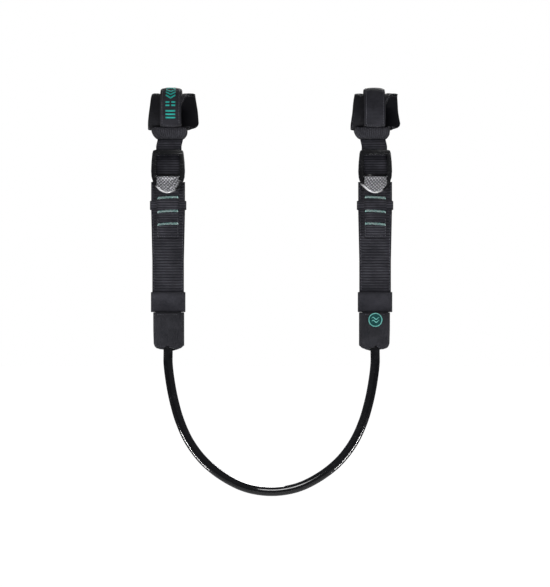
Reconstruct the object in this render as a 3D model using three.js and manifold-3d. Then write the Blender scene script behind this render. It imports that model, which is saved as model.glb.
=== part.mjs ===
// Adjustable harness line for a windsurf boom, hanging at rest from the boom by two cuffs.
// Millimetres, +Z up, +X along the boom, -Y the side with the buckles.
// The origin is on the boom's axis, midway between the two strap centre lines.

import * as THREE from 'three';
import { mergeVertices } from 'three/addons/utils/BufferGeometryUtils.js';
import Module from 'manifold-3d';

const wasm = await Module();
wasm.setup();

// ---------------------------------------------------------------- driving dimensions
const GAP = 0.3; // left between pieces that touch
const STRAP_SPACING = 206.8; // between the two strap centre lines
const ROUND = 48; // facets on a full cuff circle

// Boom cuff
const BOOM_DIAMETER = 30;
const BOOM_CLEARANCE = 0.4;
const LINING_THICKNESS = 1.2;
const PANEL_THICKNESS = 1.1;
const CUFF_REACH_LEFT = 22.5; // from the neck's centre line
const CUFF_REACH_RIGHT = 26.4;
const CUFF_FRONT_EDGE = 11; // where the panel's front layer ends
const CUFF_TOP_TAPER = 4; // how much shorter the cuff is at its top, on each end

// Narrow strap over the cuff, with its hook-and-loop closure
const BOOM_STRAP_WIDTH = 21;
const BOOM_STRAP_THICKNESS = 1.2;
const BOOM_STRAP_SHIFT = 1.1; // its centre line, right of the neck's
const LOOP_THICKNESS = 0.6;
const HOOK_THICKNESS = 0.6;
const CLOSURE_WIDTH = 18.6; // of the hook and loop patches
const FLAP_HINGE_ANGLE = -18; // degrees from the top, positive towards the front
const FLAP_END_ANGLE = 133;
const LABEL_WIDTH = 10;
const LABEL_THICKNESS = 0.4;
const LABEL_START_ANGLE = 10;
const LABEL_END_ANGLE = 112;

// Collar and neck
const COLLAR_TOP = -16;
const COLLAR_BOTTOM = -27.2;
const COLLAR_WALL = 1.3;
const COLLAR_TOP_HALF_DEPTH = 15.2;
const COLLAR_BOTTOM_HALF_DEPTH = 5.2;
const NECK_LEAN = 2.2; // the neck's centre line, inboard of the strap's
const NECK_LEG_END = -26.4; // where the narrow strap's two legs end

// Adjuster webbing
const WEBBING_WIDTH = 25;
const WEBBING_THICKNESS = 1.6;
const WEBBING_SHIFT = 0.6; // its centre line in the buckle, inboard of the strap's
const WEBBING_TOP = -20;
const LEAN_BOTTOM = -34; // below this height the webbing runs plumb
const TAIL_END = -189;
const TAIL_FOLD_LENGTH = 12;

// Cam buckle
const BUCKLE_TOP = -38.2;
const BUCKLE_HALF_WIDTH = 16.7;
const BUCKLE_FRONT = -8;
const TOP_BAR_BOTTOM = -43.4;
const TOP_BAR_FRONT = -5.6;
const FLANGE_THICKNESS = 1.2;
const WINDOW_HALF_WIDTH = 11.6;
const CHANNEL_HALF_WIDTH = 14.2;
const BASE_PLATE_TOP = -50;
const BASE_PLATE_THICKNESS = 2;
const BODY_BOTTOM = -69.2; // the arms that carry the anchor bar go on below
const ARMS_BOTTOM = -77;
const PIVOT_Y = -4.6;
const PIVOT_Z = -64.7;
const PIVOT_PIN_RADIUS = 1;
const HUB_RADIUS = 2.8;
const LEVER_PLATE_THICKNESS = 2;
const LEVER_TIP = -81.6;
const LEVER_HALF_WIDTH = 15.3;
const PAD_THICKNESS = 0.6;
const PAD_BEVEL = 0.6;
const SPRING_WIRE_RADIUS = 0.25;
const SPRING_TURNS = 3;
const SPRING_PITCH = 0.62;
const ANCHOR_BAR_RADIUS = 1.1;
const ANCHOR_BAR_Z = -73.1;

// Anchor webbing, sewn to the wide strap by three bartacks
const ANCHOR_WIDTH = 22.8;
const ANCHOR_THICKNESS = 1;
const ANCHOR_END = -126;
const BARTACK_HEIGHTS = { upper: -85.9, middle: -99.7, lower: -112.3 };
const BARTACK_WIDTH = 20.6;
const BARTACK_HEIGHT = 2;
const BARTACK_THICKNESS = 0.5;

// Wide strap, its keepers and its end sleeve
const STRAP_TOP = -69.9;
const STRAP_LAYER_THICKNESS = 1.2;
const STRAP_HALF_WIDTH = 17;
const STRAP_TAPER_TOP = -100;
const WAIST_TOP = -149; // below this height the strap has one width, so the lower keeper can slide on it
const WAIST_HALF_WIDTH = 15.9;
const STRAP_FOOT_HALF_WIDTH = 12;
const STRAP_END = -222;
const UPPER_KEEPER = { top: -89, bottom: -98, wall: 0.7, innerHalfWidth: STRAP_HALF_WIDTH + 0.5 };
const LOWER_KEEPER = { top: -180, bottom: -199.8, wall: 0.9, innerHalfWidth: WAIST_HALF_WIDTH + 0.4 };
const SLEEVE_TOP = -200.4;
const SLEEVE_BOTTOM = -239.6;
const SLEEVE_WALL = 1.4;
const BADGE_RADIUS = 7;
const BADGE_THICKNESS = 0.6;
const BADGE_Z = SLEEVE_TOP - BADGE_RADIUS - 0.3;

// Line: a plastic tube over a rope
const TUBE_DIAMETER = 9.3;
const ROPE_DIAMETER = 5;
const ROPE_CLEARANCE = 0.4;
const ROPE_TOP = -207;
const TUBE_TOP = -226;
const WHIPPING_THICKNESS = 0.4;
const WHIPPING_LENGTH = 9;

// The line's centre line on the right half, from where it leaves the sleeve to the bottom of the loop.
// It is mirrored for the left half.
const LINE_ROUTE = [
  [103.4, -240], [103.4, -251.2], [101.2, -269.7], [97.4, -289.2], [91.4, -309.7],
  [81.8, -330.3], [67.3, -349.2], [48, -364.6], [25.2, -375.6], [0, -379.3],
];

// ---------------------------------------------------------------- worked-out places
const liningInner = BOOM_DIAMETER / 2 + BOOM_CLEARANCE;
const panelInner = liningInner + LINING_THICKNESS + GAP;
const strapRingInner = panelInner + PANEL_THICKNESS + GAP;
const loopInner = strapRingInner + BOOM_STRAP_THICKNESS + GAP;
const hookInner = loopInner + LOOP_THICKNESS + GAP;
const flapInner = hookInner + HOOK_THICKNESS + GAP;
const labelInner = flapInner + BOOM_STRAP_THICKNESS + GAP;

// Depths, from the adjuster webbing forwards; the webbing's front face is at y = 0
const strapBackY = -GAP - STRAP_LAYER_THICKNESS / 2;
const strapFrontY = strapBackY - STRAP_LAYER_THICKNESS - GAP;
const strapFaceY = strapFrontY - STRAP_LAYER_THICKNESS / 2;
const lineY = (strapFrontY + strapBackY) / 2;
const anchorBackY = strapFaceY - GAP - ANCHOR_THICKNESS / 2;
const anchorFrontY = anchorBackY - ANCHOR_THICKNESS - GAP;
const anchorTurn = ANCHOR_BAR_RADIUS + 0.25 + ANCHOR_THICKNESS / 2;
const anchorBarY = anchorBackY - anchorTurn;
const basePlateFront = WEBBING_THICKNESS + GAP;
const buckleBack = basePlateFront + BASE_PLATE_THICKNESS;
const flangeBack = BUCKLE_FRONT + FLANGE_THICKNESS;
const leverBack = Math.min(BUCKLE_FRONT, anchorBarY - anchorTurn - ANCHOR_THICKNESS / 2) - GAP - 0.1;
const leverFront = leverBack - LEVER_PLATE_THICKNESS;
const armInner = ANCHOR_WIDTH / 2 + 0.35;
const camRadius = -PIVOT_Y - GAP;

// In the end sleeve the strap's layers spread about the whipped rope, and the sleeve holds them and the tube
const ropeHalf = ROPE_DIAMETER / 2 + GAP + WHIPPING_THICKNESS + GAP;
const layerSpread = ropeHalf + STRAP_LAYER_THICKNESS / 2 - (strapBackY - lineY);
const sleeveInnerHalf = Math.max(ropeHalf + STRAP_LAYER_THICKNESS, TUBE_DIAMETER / 2) + GAP;
const sleeveDepth = 2 * (sleeveInnerHalf + SLEEVE_WALL);
const sleeveFront = lineY - sleeveDepth / 2;

// ---------------------------------------------------------------- shape helpers
const radians = (degrees) => (degrees * Math.PI) / 180;

function outline(points) {
  return new THREE.Shape(points.map(([a, b]) => new THREE.Vector2(a, b)));
}

function prism(shape, depth) {
  return new THREE.ExtrudeGeometry(shape, { depth, bevelEnabled: false, curveSegments: ROUND });
}

// A (y, z) outline run along X
function alongX(shape, x0, x1) {
  const turn = new THREE.Matrix4().set(0, 0, 1, x0, 1, 0, 0, 0, 0, 1, 0, 0, 0, 0, 0, 1);
  return prism(shape, x1 - x0).applyMatrix4(turn);
}

// An (x, z) outline run along Y, from its front y0 to its back y1
function alongY(shape, y0, y1) {
  const turn = new THREE.Matrix4().set(1, 0, 0, 0, 0, 0, -1, y1, 0, 1, 0, 0, 0, 0, 0, 1);
  return prism(shape, y1 - y0).applyMatrix4(turn);
}

// An (x, y) outline run along Z
function alongZ(shape, z0, z1) {
  return prism(shape, z1 - z0).translate(0, 0, z0);
}

function block(x0, x1, y0, y1, z0, z1) {
  const box = new THREE.BoxGeometry(x1 - x0, y1 - y0, z1 - z0);
  return box.translate((x0 + x1) / 2, (y0 + y1) / 2, (z0 + z1) / 2);
}

function rodAlongX(radius, x0, x1, y, z, sides = 24) {
  const rod = new THREE.CylinderGeometry(radius, radius, x1 - x0, sides);
  return rod.rotateZ(Math.PI / 2).translate((x0 + x1) / 2, y, z);
}

// The point of a circle about the boom's axis at an angle from the top, positive to the front
function onCuff(radius, degrees) {
  return [-radius * Math.sin(radians(degrees)), radius * Math.cos(radians(degrees))];
}

function arc(radius, from, to) {
  const steps = Math.max(2, Math.round((Math.abs(to - from) / 360) * ROUND));
  return Array.from({ length: steps + 1 }, (_, i) => onCuff(radius, from + ((to - from) * i) / steps));
}

// A closed outline of one thickness about an open centre line
function band(points, thickness) {
  const sides = [[], []];
  points.forEach(([a, b], i) => {
    const [a0, b0] = points[Math.max(i - 1, 0)];
    const [a1, b1] = points[Math.min(i + 1, points.length - 1)];
    const length = Math.hypot(a1 - a0, b1 - b0);
    const across = [(-(b1 - b0) / length) * (thickness / 2), ((a1 - a0) / length) * (thickness / 2)];
    sides[0].push([a + across[0], b + across[1]]);
    sides[1].unshift([a - across[0], b - across[1]]);
  });
  return outline([...sides[0], ...sides[1]]);
}

function roundedRectangle(halfWidth, y0, y1, radius) {
  const shape = new THREE.Shape();
  shape.moveTo(halfWidth, y0 + radius);
  shape.lineTo(halfWidth, y1 - radius);
  shape.absarc(halfWidth - radius, y1 - radius, radius, 0, Math.PI / 2, false);
  shape.lineTo(radius - halfWidth, y1);
  shape.absarc(radius - halfWidth, y1 - radius, radius, Math.PI / 2, Math.PI, false);
  shape.lineTo(-halfWidth, y0 + radius);
  shape.absarc(radius - halfWidth, y0 + radius, radius, Math.PI, 1.5 * Math.PI, false);
  shape.lineTo(halfWidth - radius, y0);
  shape.absarc(halfWidth - radius, y0 + radius, radius, 1.5 * Math.PI, 2 * Math.PI, false);
  return new THREE.Shape(shape.getPoints(5));
}

const mirrored = (points) => [...points, ...points.map(([x, z]) => [-x, z]).reverse()];

// ---------------------------------------------------------------- booleans
function solid(geometry) {
  const plain = geometry.clone();
  plain.deleteAttribute('normal');
  plain.deleteAttribute('uv');
  const merged = mergeVertices(plain, 1e-4);
  const vertProperties = Float32Array.from(merged.attributes.position.array);
  const triVerts = Uint32Array.from(merged.index.array);
  return new wasm.Manifold(new wasm.Mesh({ numProp: 3, vertProperties, triVerts }));
}

function geometryOf(manifold) {
  const mesh = manifold.getMesh();
  const geometry = new THREE.BufferGeometry();
  geometry.setAttribute('position', new THREE.BufferAttribute(mesh.vertProperties, 3));
  geometry.setIndex(new THREE.BufferAttribute(mesh.triVerts, 1));
  geometry.computeVertexNormals();
  return geometry;
}

const common = (a, b) => geometryOf(solid(a).intersect(solid(b)));
const cut = (body, ...tools) => geometryOf(tools.reduce((rest, t) => rest.subtract(solid(t)), solid(body)));
const join = (body, ...more) => geometryOf(more.reduce((rest, t) => rest.add(solid(t)), solid(body)));

// ---------------------------------------------------------------- finishes
const finish = (color, roughness, metalness = 0) =>
  new THREE.MeshStandardMaterial({ color, roughness, metalness });

const finishes = {
  neoprene: finish(0x1b1b20, 0.85),
  cordura: finish(0x202027, 0.8),
  webbing: finish(0x24242c, 0.75),
  elastic: finish(0x1d1d24, 0.7),
  loopPile: finish(0x2c2c34, 0.95),
  hookTape: finish(0x17171b, 0.6),
  teal: finish(0x39beb0, 0.6),
  moulded: finish(0x0c0c0f, 0.25),
  pad: finish(0x8e9196, 0.45, 0.35),
  steel: finish(0xa9adb2, 0.3, 1),
  tube: finish(0x050506, 0.12),
  rope: finish(0xd9d9d4, 0.8),
};

function piece(name, geometry, material) {
  const mesh = new THREE.Mesh(geometry, material);
  mesh.name = name;
  return mesh;
}

// ---------------------------------------------------------------- boom cuff pieces
// A ring about the boom, with ends that close in towards its top
function cuffRing(inner, thickness) {
  const halfFacet = 180 / ROUND; // puts a flat facet at the top, where the boom bears
  const circle = (radius) => outline(arc(radius, halfFacet, 360 + halfFacet).slice(1));
  const ring = circle(inner + thickness);
  ring.holes.push(circle(inner));
  const top = inner + thickness;
  const ends = outline([
    [-CUFF_REACH_LEFT, -top - 1], [CUFF_REACH_RIGHT - 8, -top - 1], [CUFF_REACH_RIGHT - 7, 1.5 - top],
    [CUFF_REACH_RIGHT, 4 - top], [CUFF_REACH_RIGHT - CUFF_TOP_TAPER, top + 1],
    [CUFF_TOP_TAPER - CUFF_REACH_LEFT, top + 1],
  ]);
  return common(alongX(ring, -CUFF_REACH_LEFT - 1, CUFF_REACH_RIGHT + 1), alongY(ends, -top - 1, top + 1));
}

// The front layer stops short on the right, along a slanted edge
function openFront(ring) {
  const right = CUFF_REACH_RIGHT + 2;
  const top = panelInner + PANEL_THICKNESS;
  const away = outline([
    [CUFF_FRONT_EDGE, -top - 2], [right, -top - 2], [right, top - 0.2], [CUFF_FRONT_EDGE + 8, top - 0.2],
    [CUFF_FRONT_EDGE + 5, 0.75 * top], [CUFF_FRONT_EDGE, 0.2 * top],
  ]);
  return cut(ring, alongY(away, -top - 2, -0.2 * top));
}

// The narrow strap's centre line: up from the neck, round the cuff and down to the neck again
function boomStrapRoute() {
  const radius = strapRingInner + BOOM_STRAP_THICKNESS / 2;
  const ends = [
    [-GAP - BOOM_STRAP_THICKNESS / 2, NECK_LEG_END],
    [WEBBING_THICKNESS + GAP + BOOM_STRAP_THICKNESS / 2, NECK_LEG_END],
  ];
  const [front, back] = ends.map(([y, z]) => {
    const lean = (Math.atan2(Math.abs(y), -z) * 180) / Math.PI;
    const reach = (Math.acos(radius / Math.hypot(y, z)) * 180) / Math.PI;
    return 180 - lean - reach;
  });
  return [ends[0], ...arc(radius, front, -back), ends[1]];
}

function strapPiece(profile, width) {
  return alongX(profile, BOOM_STRAP_SHIFT - width / 2, BOOM_STRAP_SHIFT + width / 2);
}

function arcPiece(inner, thickness, from, to, width) {
  return strapPiece(band(arc(inner + thickness / 2, from, to), thickness), width);
}

// A tapered wrap that gathers the strap's legs; its rim is hollowed to sit under the cuff
function collar() {
  const middle = WEBBING_THICKNESS / 2;
  const side = (wall) => {
    const past = wall ? 1 : 0; // the inside runs out of both ends
    const high = COLLAR_TOP_HALF_DEPTH - wall;
    const low = COLLAR_BOTTOM_HALF_DEPTH - wall;
    return outline([
      [middle - high, COLLAR_TOP + past], [middle - low, COLLAR_BOTTOM - past],
      [middle + low, COLLAR_BOTTOM - past], [middle + high, COLLAR_TOP + past],
    ]);
  };
  const face = (wall) => outline([
    [-19 + wall, COLLAR_TOP + 2], [-18.4 + wall, -20], [-15.8 + wall, -24.8],
    [-14.4 + wall, COLLAR_BOTTOM - 2],
    [14.2 - wall, COLLAR_BOTTOM - 2], [15.4 - wall, -24], [16.8 - wall, -19], [17 - wall, COLLAR_TOP + 2],
  ]);
  const outer = common(alongX(side(0), -24, 24), alongY(face(0), -24, 24));
  const inner = common(alongX(side(COLLAR_WALL), -24, 24), alongY(face(COLLAR_WALL), -24, 24));
  return cut(outer, inner, rodAlongX(strapRingInner, -30, 30, 0, 0, ROUND));
}

// ---------------------------------------------------------------- adjuster webbing pieces
// From inside the collar down through the buckle to the stowed tail, side +1 on the right unit
function adjusterWebbing(side) {
  const half = WEBBING_WIDTH / 2;
  const low = -side * WEBBING_SHIFT;
  const high = -side * NECK_LEAN;
  const foot = TAIL_END + TAIL_FOLD_LENGTH + GAP;
  const face = outline([
    [low - half, foot], [low + half, foot], [low + half, LEAN_BOTTOM], [high + half, COLLAR_BOTTOM],
    [high + half, WEBBING_TOP], [high - half, WEBBING_TOP], [high - half, COLLAR_BOTTOM],
    [low - half, LEAN_BOTTOM],
  ]);
  return alongY(face, 0, WEBBING_THICKNESS);
}

// The webbing's end is folded back on itself and stitched
function tailFold(side) {
  const low = -side * WEBBING_SHIFT;
  const half = WEBBING_WIDTH / 2;
  const profile = outline([
    [0, TAIL_END + TAIL_FOLD_LENGTH], [0, TAIL_END + 0.6], [0.6, TAIL_END],
    [2.4, TAIL_END], [3, TAIL_END + 0.6], [3, TAIL_END + TAIL_FOLD_LENGTH],
  ]);
  return alongX(profile, low - half, low + half);
}

// ---------------------------------------------------------------- buckle pieces
function buckleFrame() {
  const w = BUCKLE_HALF_WIDTH;
  const face = outline(mirrored([
    [w - 3.6, BUCKLE_TOP], [w - 1.9, BUCKLE_TOP - 0.8], [w - 1.3, BUCKLE_TOP - 3], [w - 0.4, BUCKLE_TOP - 12],
    [w, BUCKLE_TOP - 21], [w - 0.4, BUCKLE_TOP - 27], [w - 1.5, BODY_BOTTOM], [w - 3.2, BODY_BOTTOM - 5.8],
    [w - 4.2, ARMS_BOTTOM],
  ]));
  const far = BUCKLE_HALF_WIDTH + 2;
  const c = CHANNEL_HALF_WIDTH;
  return cut(
    alongY(face, BUCKLE_FRONT, buckleBack),
    block(-WINDOW_HALF_WIDTH, WINDOW_HALF_WIDTH, BUCKLE_FRONT - 1, 0, BODY_BOTTOM, TOP_BAR_BOTTOM),
    block(-c, c, flangeBack, basePlateFront, BODY_BOTTOM, TOP_BAR_BOTTOM),
    block(-armInner, armInner, BUCKLE_FRONT - 1, buckleBack + 1, ARMS_BOTTOM - 1, BODY_BOTTOM),
    block(-far, far, strapFaceY - 2 * GAP, buckleBack + 1, ARMS_BOTTOM - 1, BODY_BOTTOM),
    block(-c, c, -GAP - 0.1, buckleBack + 1, BASE_PLATE_TOP, BUCKLE_TOP + 1),
    block(-far, far, BUCKLE_FRONT - 1, TOP_BAR_FRONT, TOP_BAR_BOTTOM + 1.6, BUCKLE_TOP + 1),
    rodAlongX(PIVOT_PIN_RADIUS + GAP, -far, far, PIVOT_Y, PIVOT_Z),
    rodAlongX(ANCHOR_BAR_RADIUS + GAP, -far, far, anchorBarY, ANCHOR_BAR_Z),
  );
}

// The cam's teeth face the webbing just below the pivot, so a pull from above tightens their bite
function camProfile() {
  const teeth = [];
  for (let i = 6; i >= 0; i -= 1) {
    const angle = radians(-6 - 5 * i);
    const radius = camRadius - (i % 2 ? 0.6 : 0);
    teeth.push([PIVOT_Y + radius * Math.cos(angle), PIVOT_Z + radius * Math.sin(angle)]);
  }
  return outline([[PIVOT_Y, PIVOT_Z + 1], [PIVOT_Y, PIVOT_Z - HUB_RADIUS + 0.2], ...teeth]);
}

// The lever's face: between the flanges at its top, then a shield over the frame's arms
function leverFace() {
  const w = LEVER_HALF_WIDTH;
  const shoulder = WINDOW_HALF_WIDTH - 2 * GAP;
  return outline(mirrored([
    [shoulder, PIVOT_Z + 0.2], [shoulder, PIVOT_Z - 4], [w, PIVOT_Z - 5.6], [w, PIVOT_Z - 7.8],
    [0.86 * w, PIVOT_Z - 10.6], [0.62 * w, LEVER_TIP + 3.3], [0.34 * w, LEVER_TIP + 1.1],
    [0.12 * w, LEVER_TIP],
  ]));
}

function camLever() {
  const hub = WINDOW_HALF_WIDTH - 2 * GAP;
  const neck = block(-hub, hub, leverBack - 0.5, PIVOT_Y, PIVOT_Z - 2.6, PIVOT_Z + 2);
  const body = join(
    rodAlongX(HUB_RADIUS, -hub, hub, PIVOT_Y, PIVOT_Z),
    alongX(camProfile(), -hub, hub),
    neck,
    alongY(leverFace(), leverFront, leverBack),
  );
  return cut(body, rodAlongX(PIVOT_PIN_RADIUS + GAP, -hub - 1, hub + 1, PIVOT_Y, PIVOT_Z));
}

function thumbPad() {
  const w = WINDOW_HALF_WIDTH;
  const shape = outline(mirrored([
    [w - 1.2, PIVOT_Z - 0.3], [w - 0.4, PIVOT_Z - 8], [w - 2.6, PIVOT_Z - 11.2], [w - 5.8, LEVER_TIP + 2.4],
    [w - 9.6, LEVER_TIP + 1.1],
  ]));
  const edge = { bevelThickness: PAD_BEVEL, bevelSize: PAD_BEVEL, bevelOffset: -PAD_BEVEL, bevelSegments: 2 };
  const pad = new THREE.ExtrudeGeometry(shape, { depth: PAD_THICKNESS, ...edge });
  return pad.rotateX(Math.PI / 2).translate(0, leverFront - GAP - PAD_BEVEL, 0);
}

// Coiled round the pin between the hub and the frame's wall; one leg lies behind the flange
function camSpring() {
  const coil = PIVOT_PIN_RADIUS + GAP + SPRING_WIRE_RADIUS;
  const start = WINDOW_HALF_WIDTH - GAP + 2 * SPRING_WIRE_RADIUS;
  const points = [];
  const perTurn = 12;
  for (let i = 0; i <= SPRING_TURNS * perTurn; i += 1) {
    const angle = Math.PI + (2 * Math.PI * i) / perTurn;
    const x = start + (SPRING_PITCH * i) / perTurn;
    points.push(new THREE.Vector3(x, PIVOT_Y + coil * Math.cos(angle), PIVOT_Z - coil * Math.sin(angle)));
  }
  const end = points[points.length - 1];
  points.push(new THREE.Vector3(end.x, end.y, end.z + 3), new THREE.Vector3(end.x, end.y, end.z + 6));
  const wire = new THREE.Shape().absarc(0, 0, SPRING_WIRE_RADIUS, 0, 2 * Math.PI, false);
  const section = new THREE.Shape(wire.getPoints(3).slice(0, -1));
  return new THREE.ExtrudeGeometry(section, { steps: 60, extrudePath: new THREE.CatmullRomCurve3(points) });
}

// ---------------------------------------------------------------- strap pieces
// How far the anchor webbing rises to pass over the upper keeper
function keeperRise(z) {
  const rise = UPPER_KEEPER.wall + GAP;
  const slope = 1.2;
  const above = z - (UPPER_KEEPER.top + 0.4);
  const below = UPPER_KEEPER.bottom - 0.4 - z;
  return rise * THREE.MathUtils.clamp(1 - Math.max(above, below, 0) / slope, 0, 1);
}

function anchorLeg(y, from, to) {
  const { top, bottom } = UPPER_KEEPER;
  const heights = [from, top + 1.6, top + 0.4, bottom - 0.4, bottom - 1.6, to];
  return heights.map((z) => [y - keeperRise(z), z]);
}

// A doubled webbing that loops round the anchor bar and lies on the wide strap
function anchorWebbing() {
  const turn = [];
  for (let i = 0; i <= 8; i += 1) {
    const angle = (Math.PI * i) / 8;
    turn.push([anchorBarY + anchorTurn * Math.cos(angle), ANCHOR_BAR_Z + anchorTurn * Math.sin(angle)]);
  }
  const front = anchorLeg(anchorFrontY, ANCHOR_BAR_Z - 8, ANCHOR_END);
  const back = anchorLeg(anchorBackY, ANCHOR_BAR_Z - 8, ANCHOR_END);
  const half = ANCHOR_WIDTH / 2;
  return alongX(band([...back.reverse(), ...turn, ...front], ANCHOR_THICKNESS), -half, half);
}

function bartack(z) {
  const levels = [z + BARTACK_HEIGHT / 2, z, z - BARTACK_HEIGHT / 2];
  const face = anchorFrontY - ANCHOR_THICKNESS / 2 - GAP - BARTACK_THICKNESS / 2;
  const rise = Math.max(...levels.map(keeperRise));
  const profile = band(levels.map((level) => [face - rise, level]), BARTACK_THICKNESS);
  return alongX(profile, -BARTACK_WIDTH / 2, BARTACK_WIDTH / 2);
}

// One layer of the wide strap: flat, then spread about the rope inside the sleeve
function strapLayer(y, spread) {
  const bend = SLEEVE_TOP + 1;
  const inner = y + spread;
  const route = [[y, STRAP_TOP], [y, bend + 1], [y, bend], [inner, ROPE_TOP + 1], [inner, STRAP_END]];
  const w = STRAP_HALF_WIDTH;
  const face = outline(mirrored([
    [w - 1, STRAP_TOP + 1], [w, STRAP_TOP - 1.5], [w, STRAP_TAPER_TOP], [WAIST_HALF_WIDTH, WAIST_TOP],
    [WAIST_HALF_WIDTH, LOWER_KEEPER.top], [WAIST_HALF_WIDTH - 0.4, SLEEVE_TOP + 3],
    [STRAP_FOOT_HALF_WIDTH, SLEEVE_TOP - 1], [STRAP_FOOT_HALF_WIDTH, STRAP_END - 1],
  ]));
  return common(alongX(band(route, STRAP_LAYER_THICKNESS), -w - 1, w + 1), alongY(face, y - 8, y + 8));
}

// A flat loop round the wide strap and the webbing's tail
function keeper({ top, bottom, wall, innerHalfWidth }, tailRoom) {
  const front = strapFaceY - GAP;
  const outer = roundedRectangle(innerHalfWidth + wall, front - wall, tailRoom + wall, 2.2);
  outer.holes.push(roundedRectangle(innerHalfWidth, front, tailRoom, 0.8));
  return alongZ(outer, bottom, top);
}

// A flat pouch over the strap's foot and the line's end; its lower edge drops on the inboard side
function endSleeve(side) {
  const face = (wall) => {
    const points = [
      [-14.9 + wall, SLEEVE_TOP + (wall ? 1 : 0)], [-14.6 + wall, -218], [-13.4 + wall, -231.6 + wall / 2],
      [-7.6, -237.4 + wall], [4.9, SLEEVE_BOTTOM + wall], [15.4 - wall, -233.2 + wall], [16.1 - wall, -229.8],
      [16.1 - wall, SLEEVE_TOP + (wall ? 1 : 0)],
    ];
    return outline(side < 0 ? points : points.map(([x, z]) => [-x, z]).reverse());
  };
  const section = (wall) => {
    const radius = 5.2 - wall;
    return roundedRectangle(17 - wall, sleeveFront + wall, sleeveFront + sleeveDepth - wall, radius);
  };
  const shell = (wall, low, high) => common(alongY(face(wall), -20, 20), alongZ(section(wall), low, high));
  const exit = new THREE.CylinderGeometry(TUBE_DIAMETER / 2 + GAP, TUBE_DIAMETER / 2 + GAP, 30, 24);
  return cut(
    shell(0, SLEEVE_BOTTOM - 1, SLEEVE_TOP),
    shell(SLEEVE_WALL, SLEEVE_BOTTOM, SLEEVE_TOP + 1),
    exit.rotateX(Math.PI / 2).translate(0, lineY, TUBE_TOP - 15),
  );
}

function ringAt(inner, thickness, top, bottom) {
  const outer = inner + thickness;
  const points = [[inner, bottom], [outer, bottom], [outer, top], [inner, top], [inner, bottom]];
  const ring = new THREE.LatheGeometry(points.map(([r, z]) => new THREE.Vector2(r, z)), 20);
  return ring.rotateX(Math.PI / 2).translate(0, lineY, 0);
}

function badge() {
  const disc = new THREE.CylinderGeometry(BADGE_RADIUS, BADGE_RADIUS, BADGE_THICKNESS, 28);
  return disc.translate(0, sleeveFront - GAP - BADGE_THICKNESS / 2, BADGE_Z);
}

// ---------------------------------------------------------------- line
function polygon(radius, sides) {
  const points = [];
  for (let i = 0; i < sides; i += 1) {
    const angle = (2 * Math.PI * (i + 0.5)) / sides;
    points.push([radius * Math.cos(angle), radius * Math.sin(angle)]);
  }
  return points;
}

function lineCurve(top) {
  const right = LINE_ROUTE.map(([x, z]) => new THREE.Vector3(x, lineY, z));
  const left = LINE_ROUTE.slice(0, -1).map(([x, z]) => new THREE.Vector3(-x, lineY, z));
  const half = STRAP_SPACING / 2;
  const first = new THREE.Vector3(-half, lineY, top);
  const last = new THREE.Vector3(half, lineY, top);
  return new THREE.CatmullRomCurve3([first, ...left, ...right.reverse(), last], false, 'centripetal');
}

function lineTube() {
  const section = outline(polygon(TUBE_DIAMETER / 2, 12));
  section.holes.push(outline(polygon(ROPE_DIAMETER / 2 + ROPE_CLEARANCE, 12)));
  return new THREE.ExtrudeGeometry(section, { steps: 39, extrudePath: lineCurve(TUBE_TOP) });
}

function coreRope() {
  const section = outline(polygon(ROPE_DIAMETER / 2, 8));
  return new THREE.ExtrudeGeometry(section, { steps: 43, extrudePath: lineCurve(ROPE_TOP) });
}

// ---------------------------------------------------------------- assembly
function cuffGroup(side, name) {
  const group = new THREE.Group();
  group.position.x = -side * NECK_LEAN;
  const lining = openFront(cuffRing(liningInner, LINING_THICKNESS));
  const panel = openFront(cuffRing(panelInner, PANEL_THICKNESS));
  const strap = strapPiece(band(boomStrapRoute(), BOOM_STRAP_THICKNESS), BOOM_STRAP_WIDTH);
  const loop = arcPiece(loopInner, LOOP_THICKNESS, -8, FLAP_END_ANGLE - 7, CLOSURE_WIDTH);
  const hook = arcPiece(hookInner, HOOK_THICKNESS, -4, FLAP_END_ANGLE - 3, CLOSURE_WIDTH);
  const flap = arcPiece(flapInner, BOOM_STRAP_THICKNESS, FLAP_HINGE_ANGLE, FLAP_END_ANGLE, BOOM_STRAP_WIDTH);
  group.add(
    piece(`${name}_cuff_lining`, lining, finishes.neoprene),
    piece(`${name}_cuff_panel`, panel, finishes.cordura),
    piece(`${name}_boom_strap`, strap, finishes.webbing),
    piece(`${name}_loop_patch`, loop, finishes.loopPile),
    piece(`${name}_hook_patch`, hook, finishes.hookTape),
    piece(`${name}_closure_flap`, flap, finishes.webbing),
    piece(`${name}_neck_collar`, collar(), finishes.webbing),
  );
  if (side < 0) {
    const label = arcPiece(labelInner, LABEL_THICKNESS, LABEL_START_ANGLE, LABEL_END_ANGLE, LABEL_WIDTH);
    group.add(piece('left_flap_label', label, finishes.teal));
  }
  return group;
}

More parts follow.
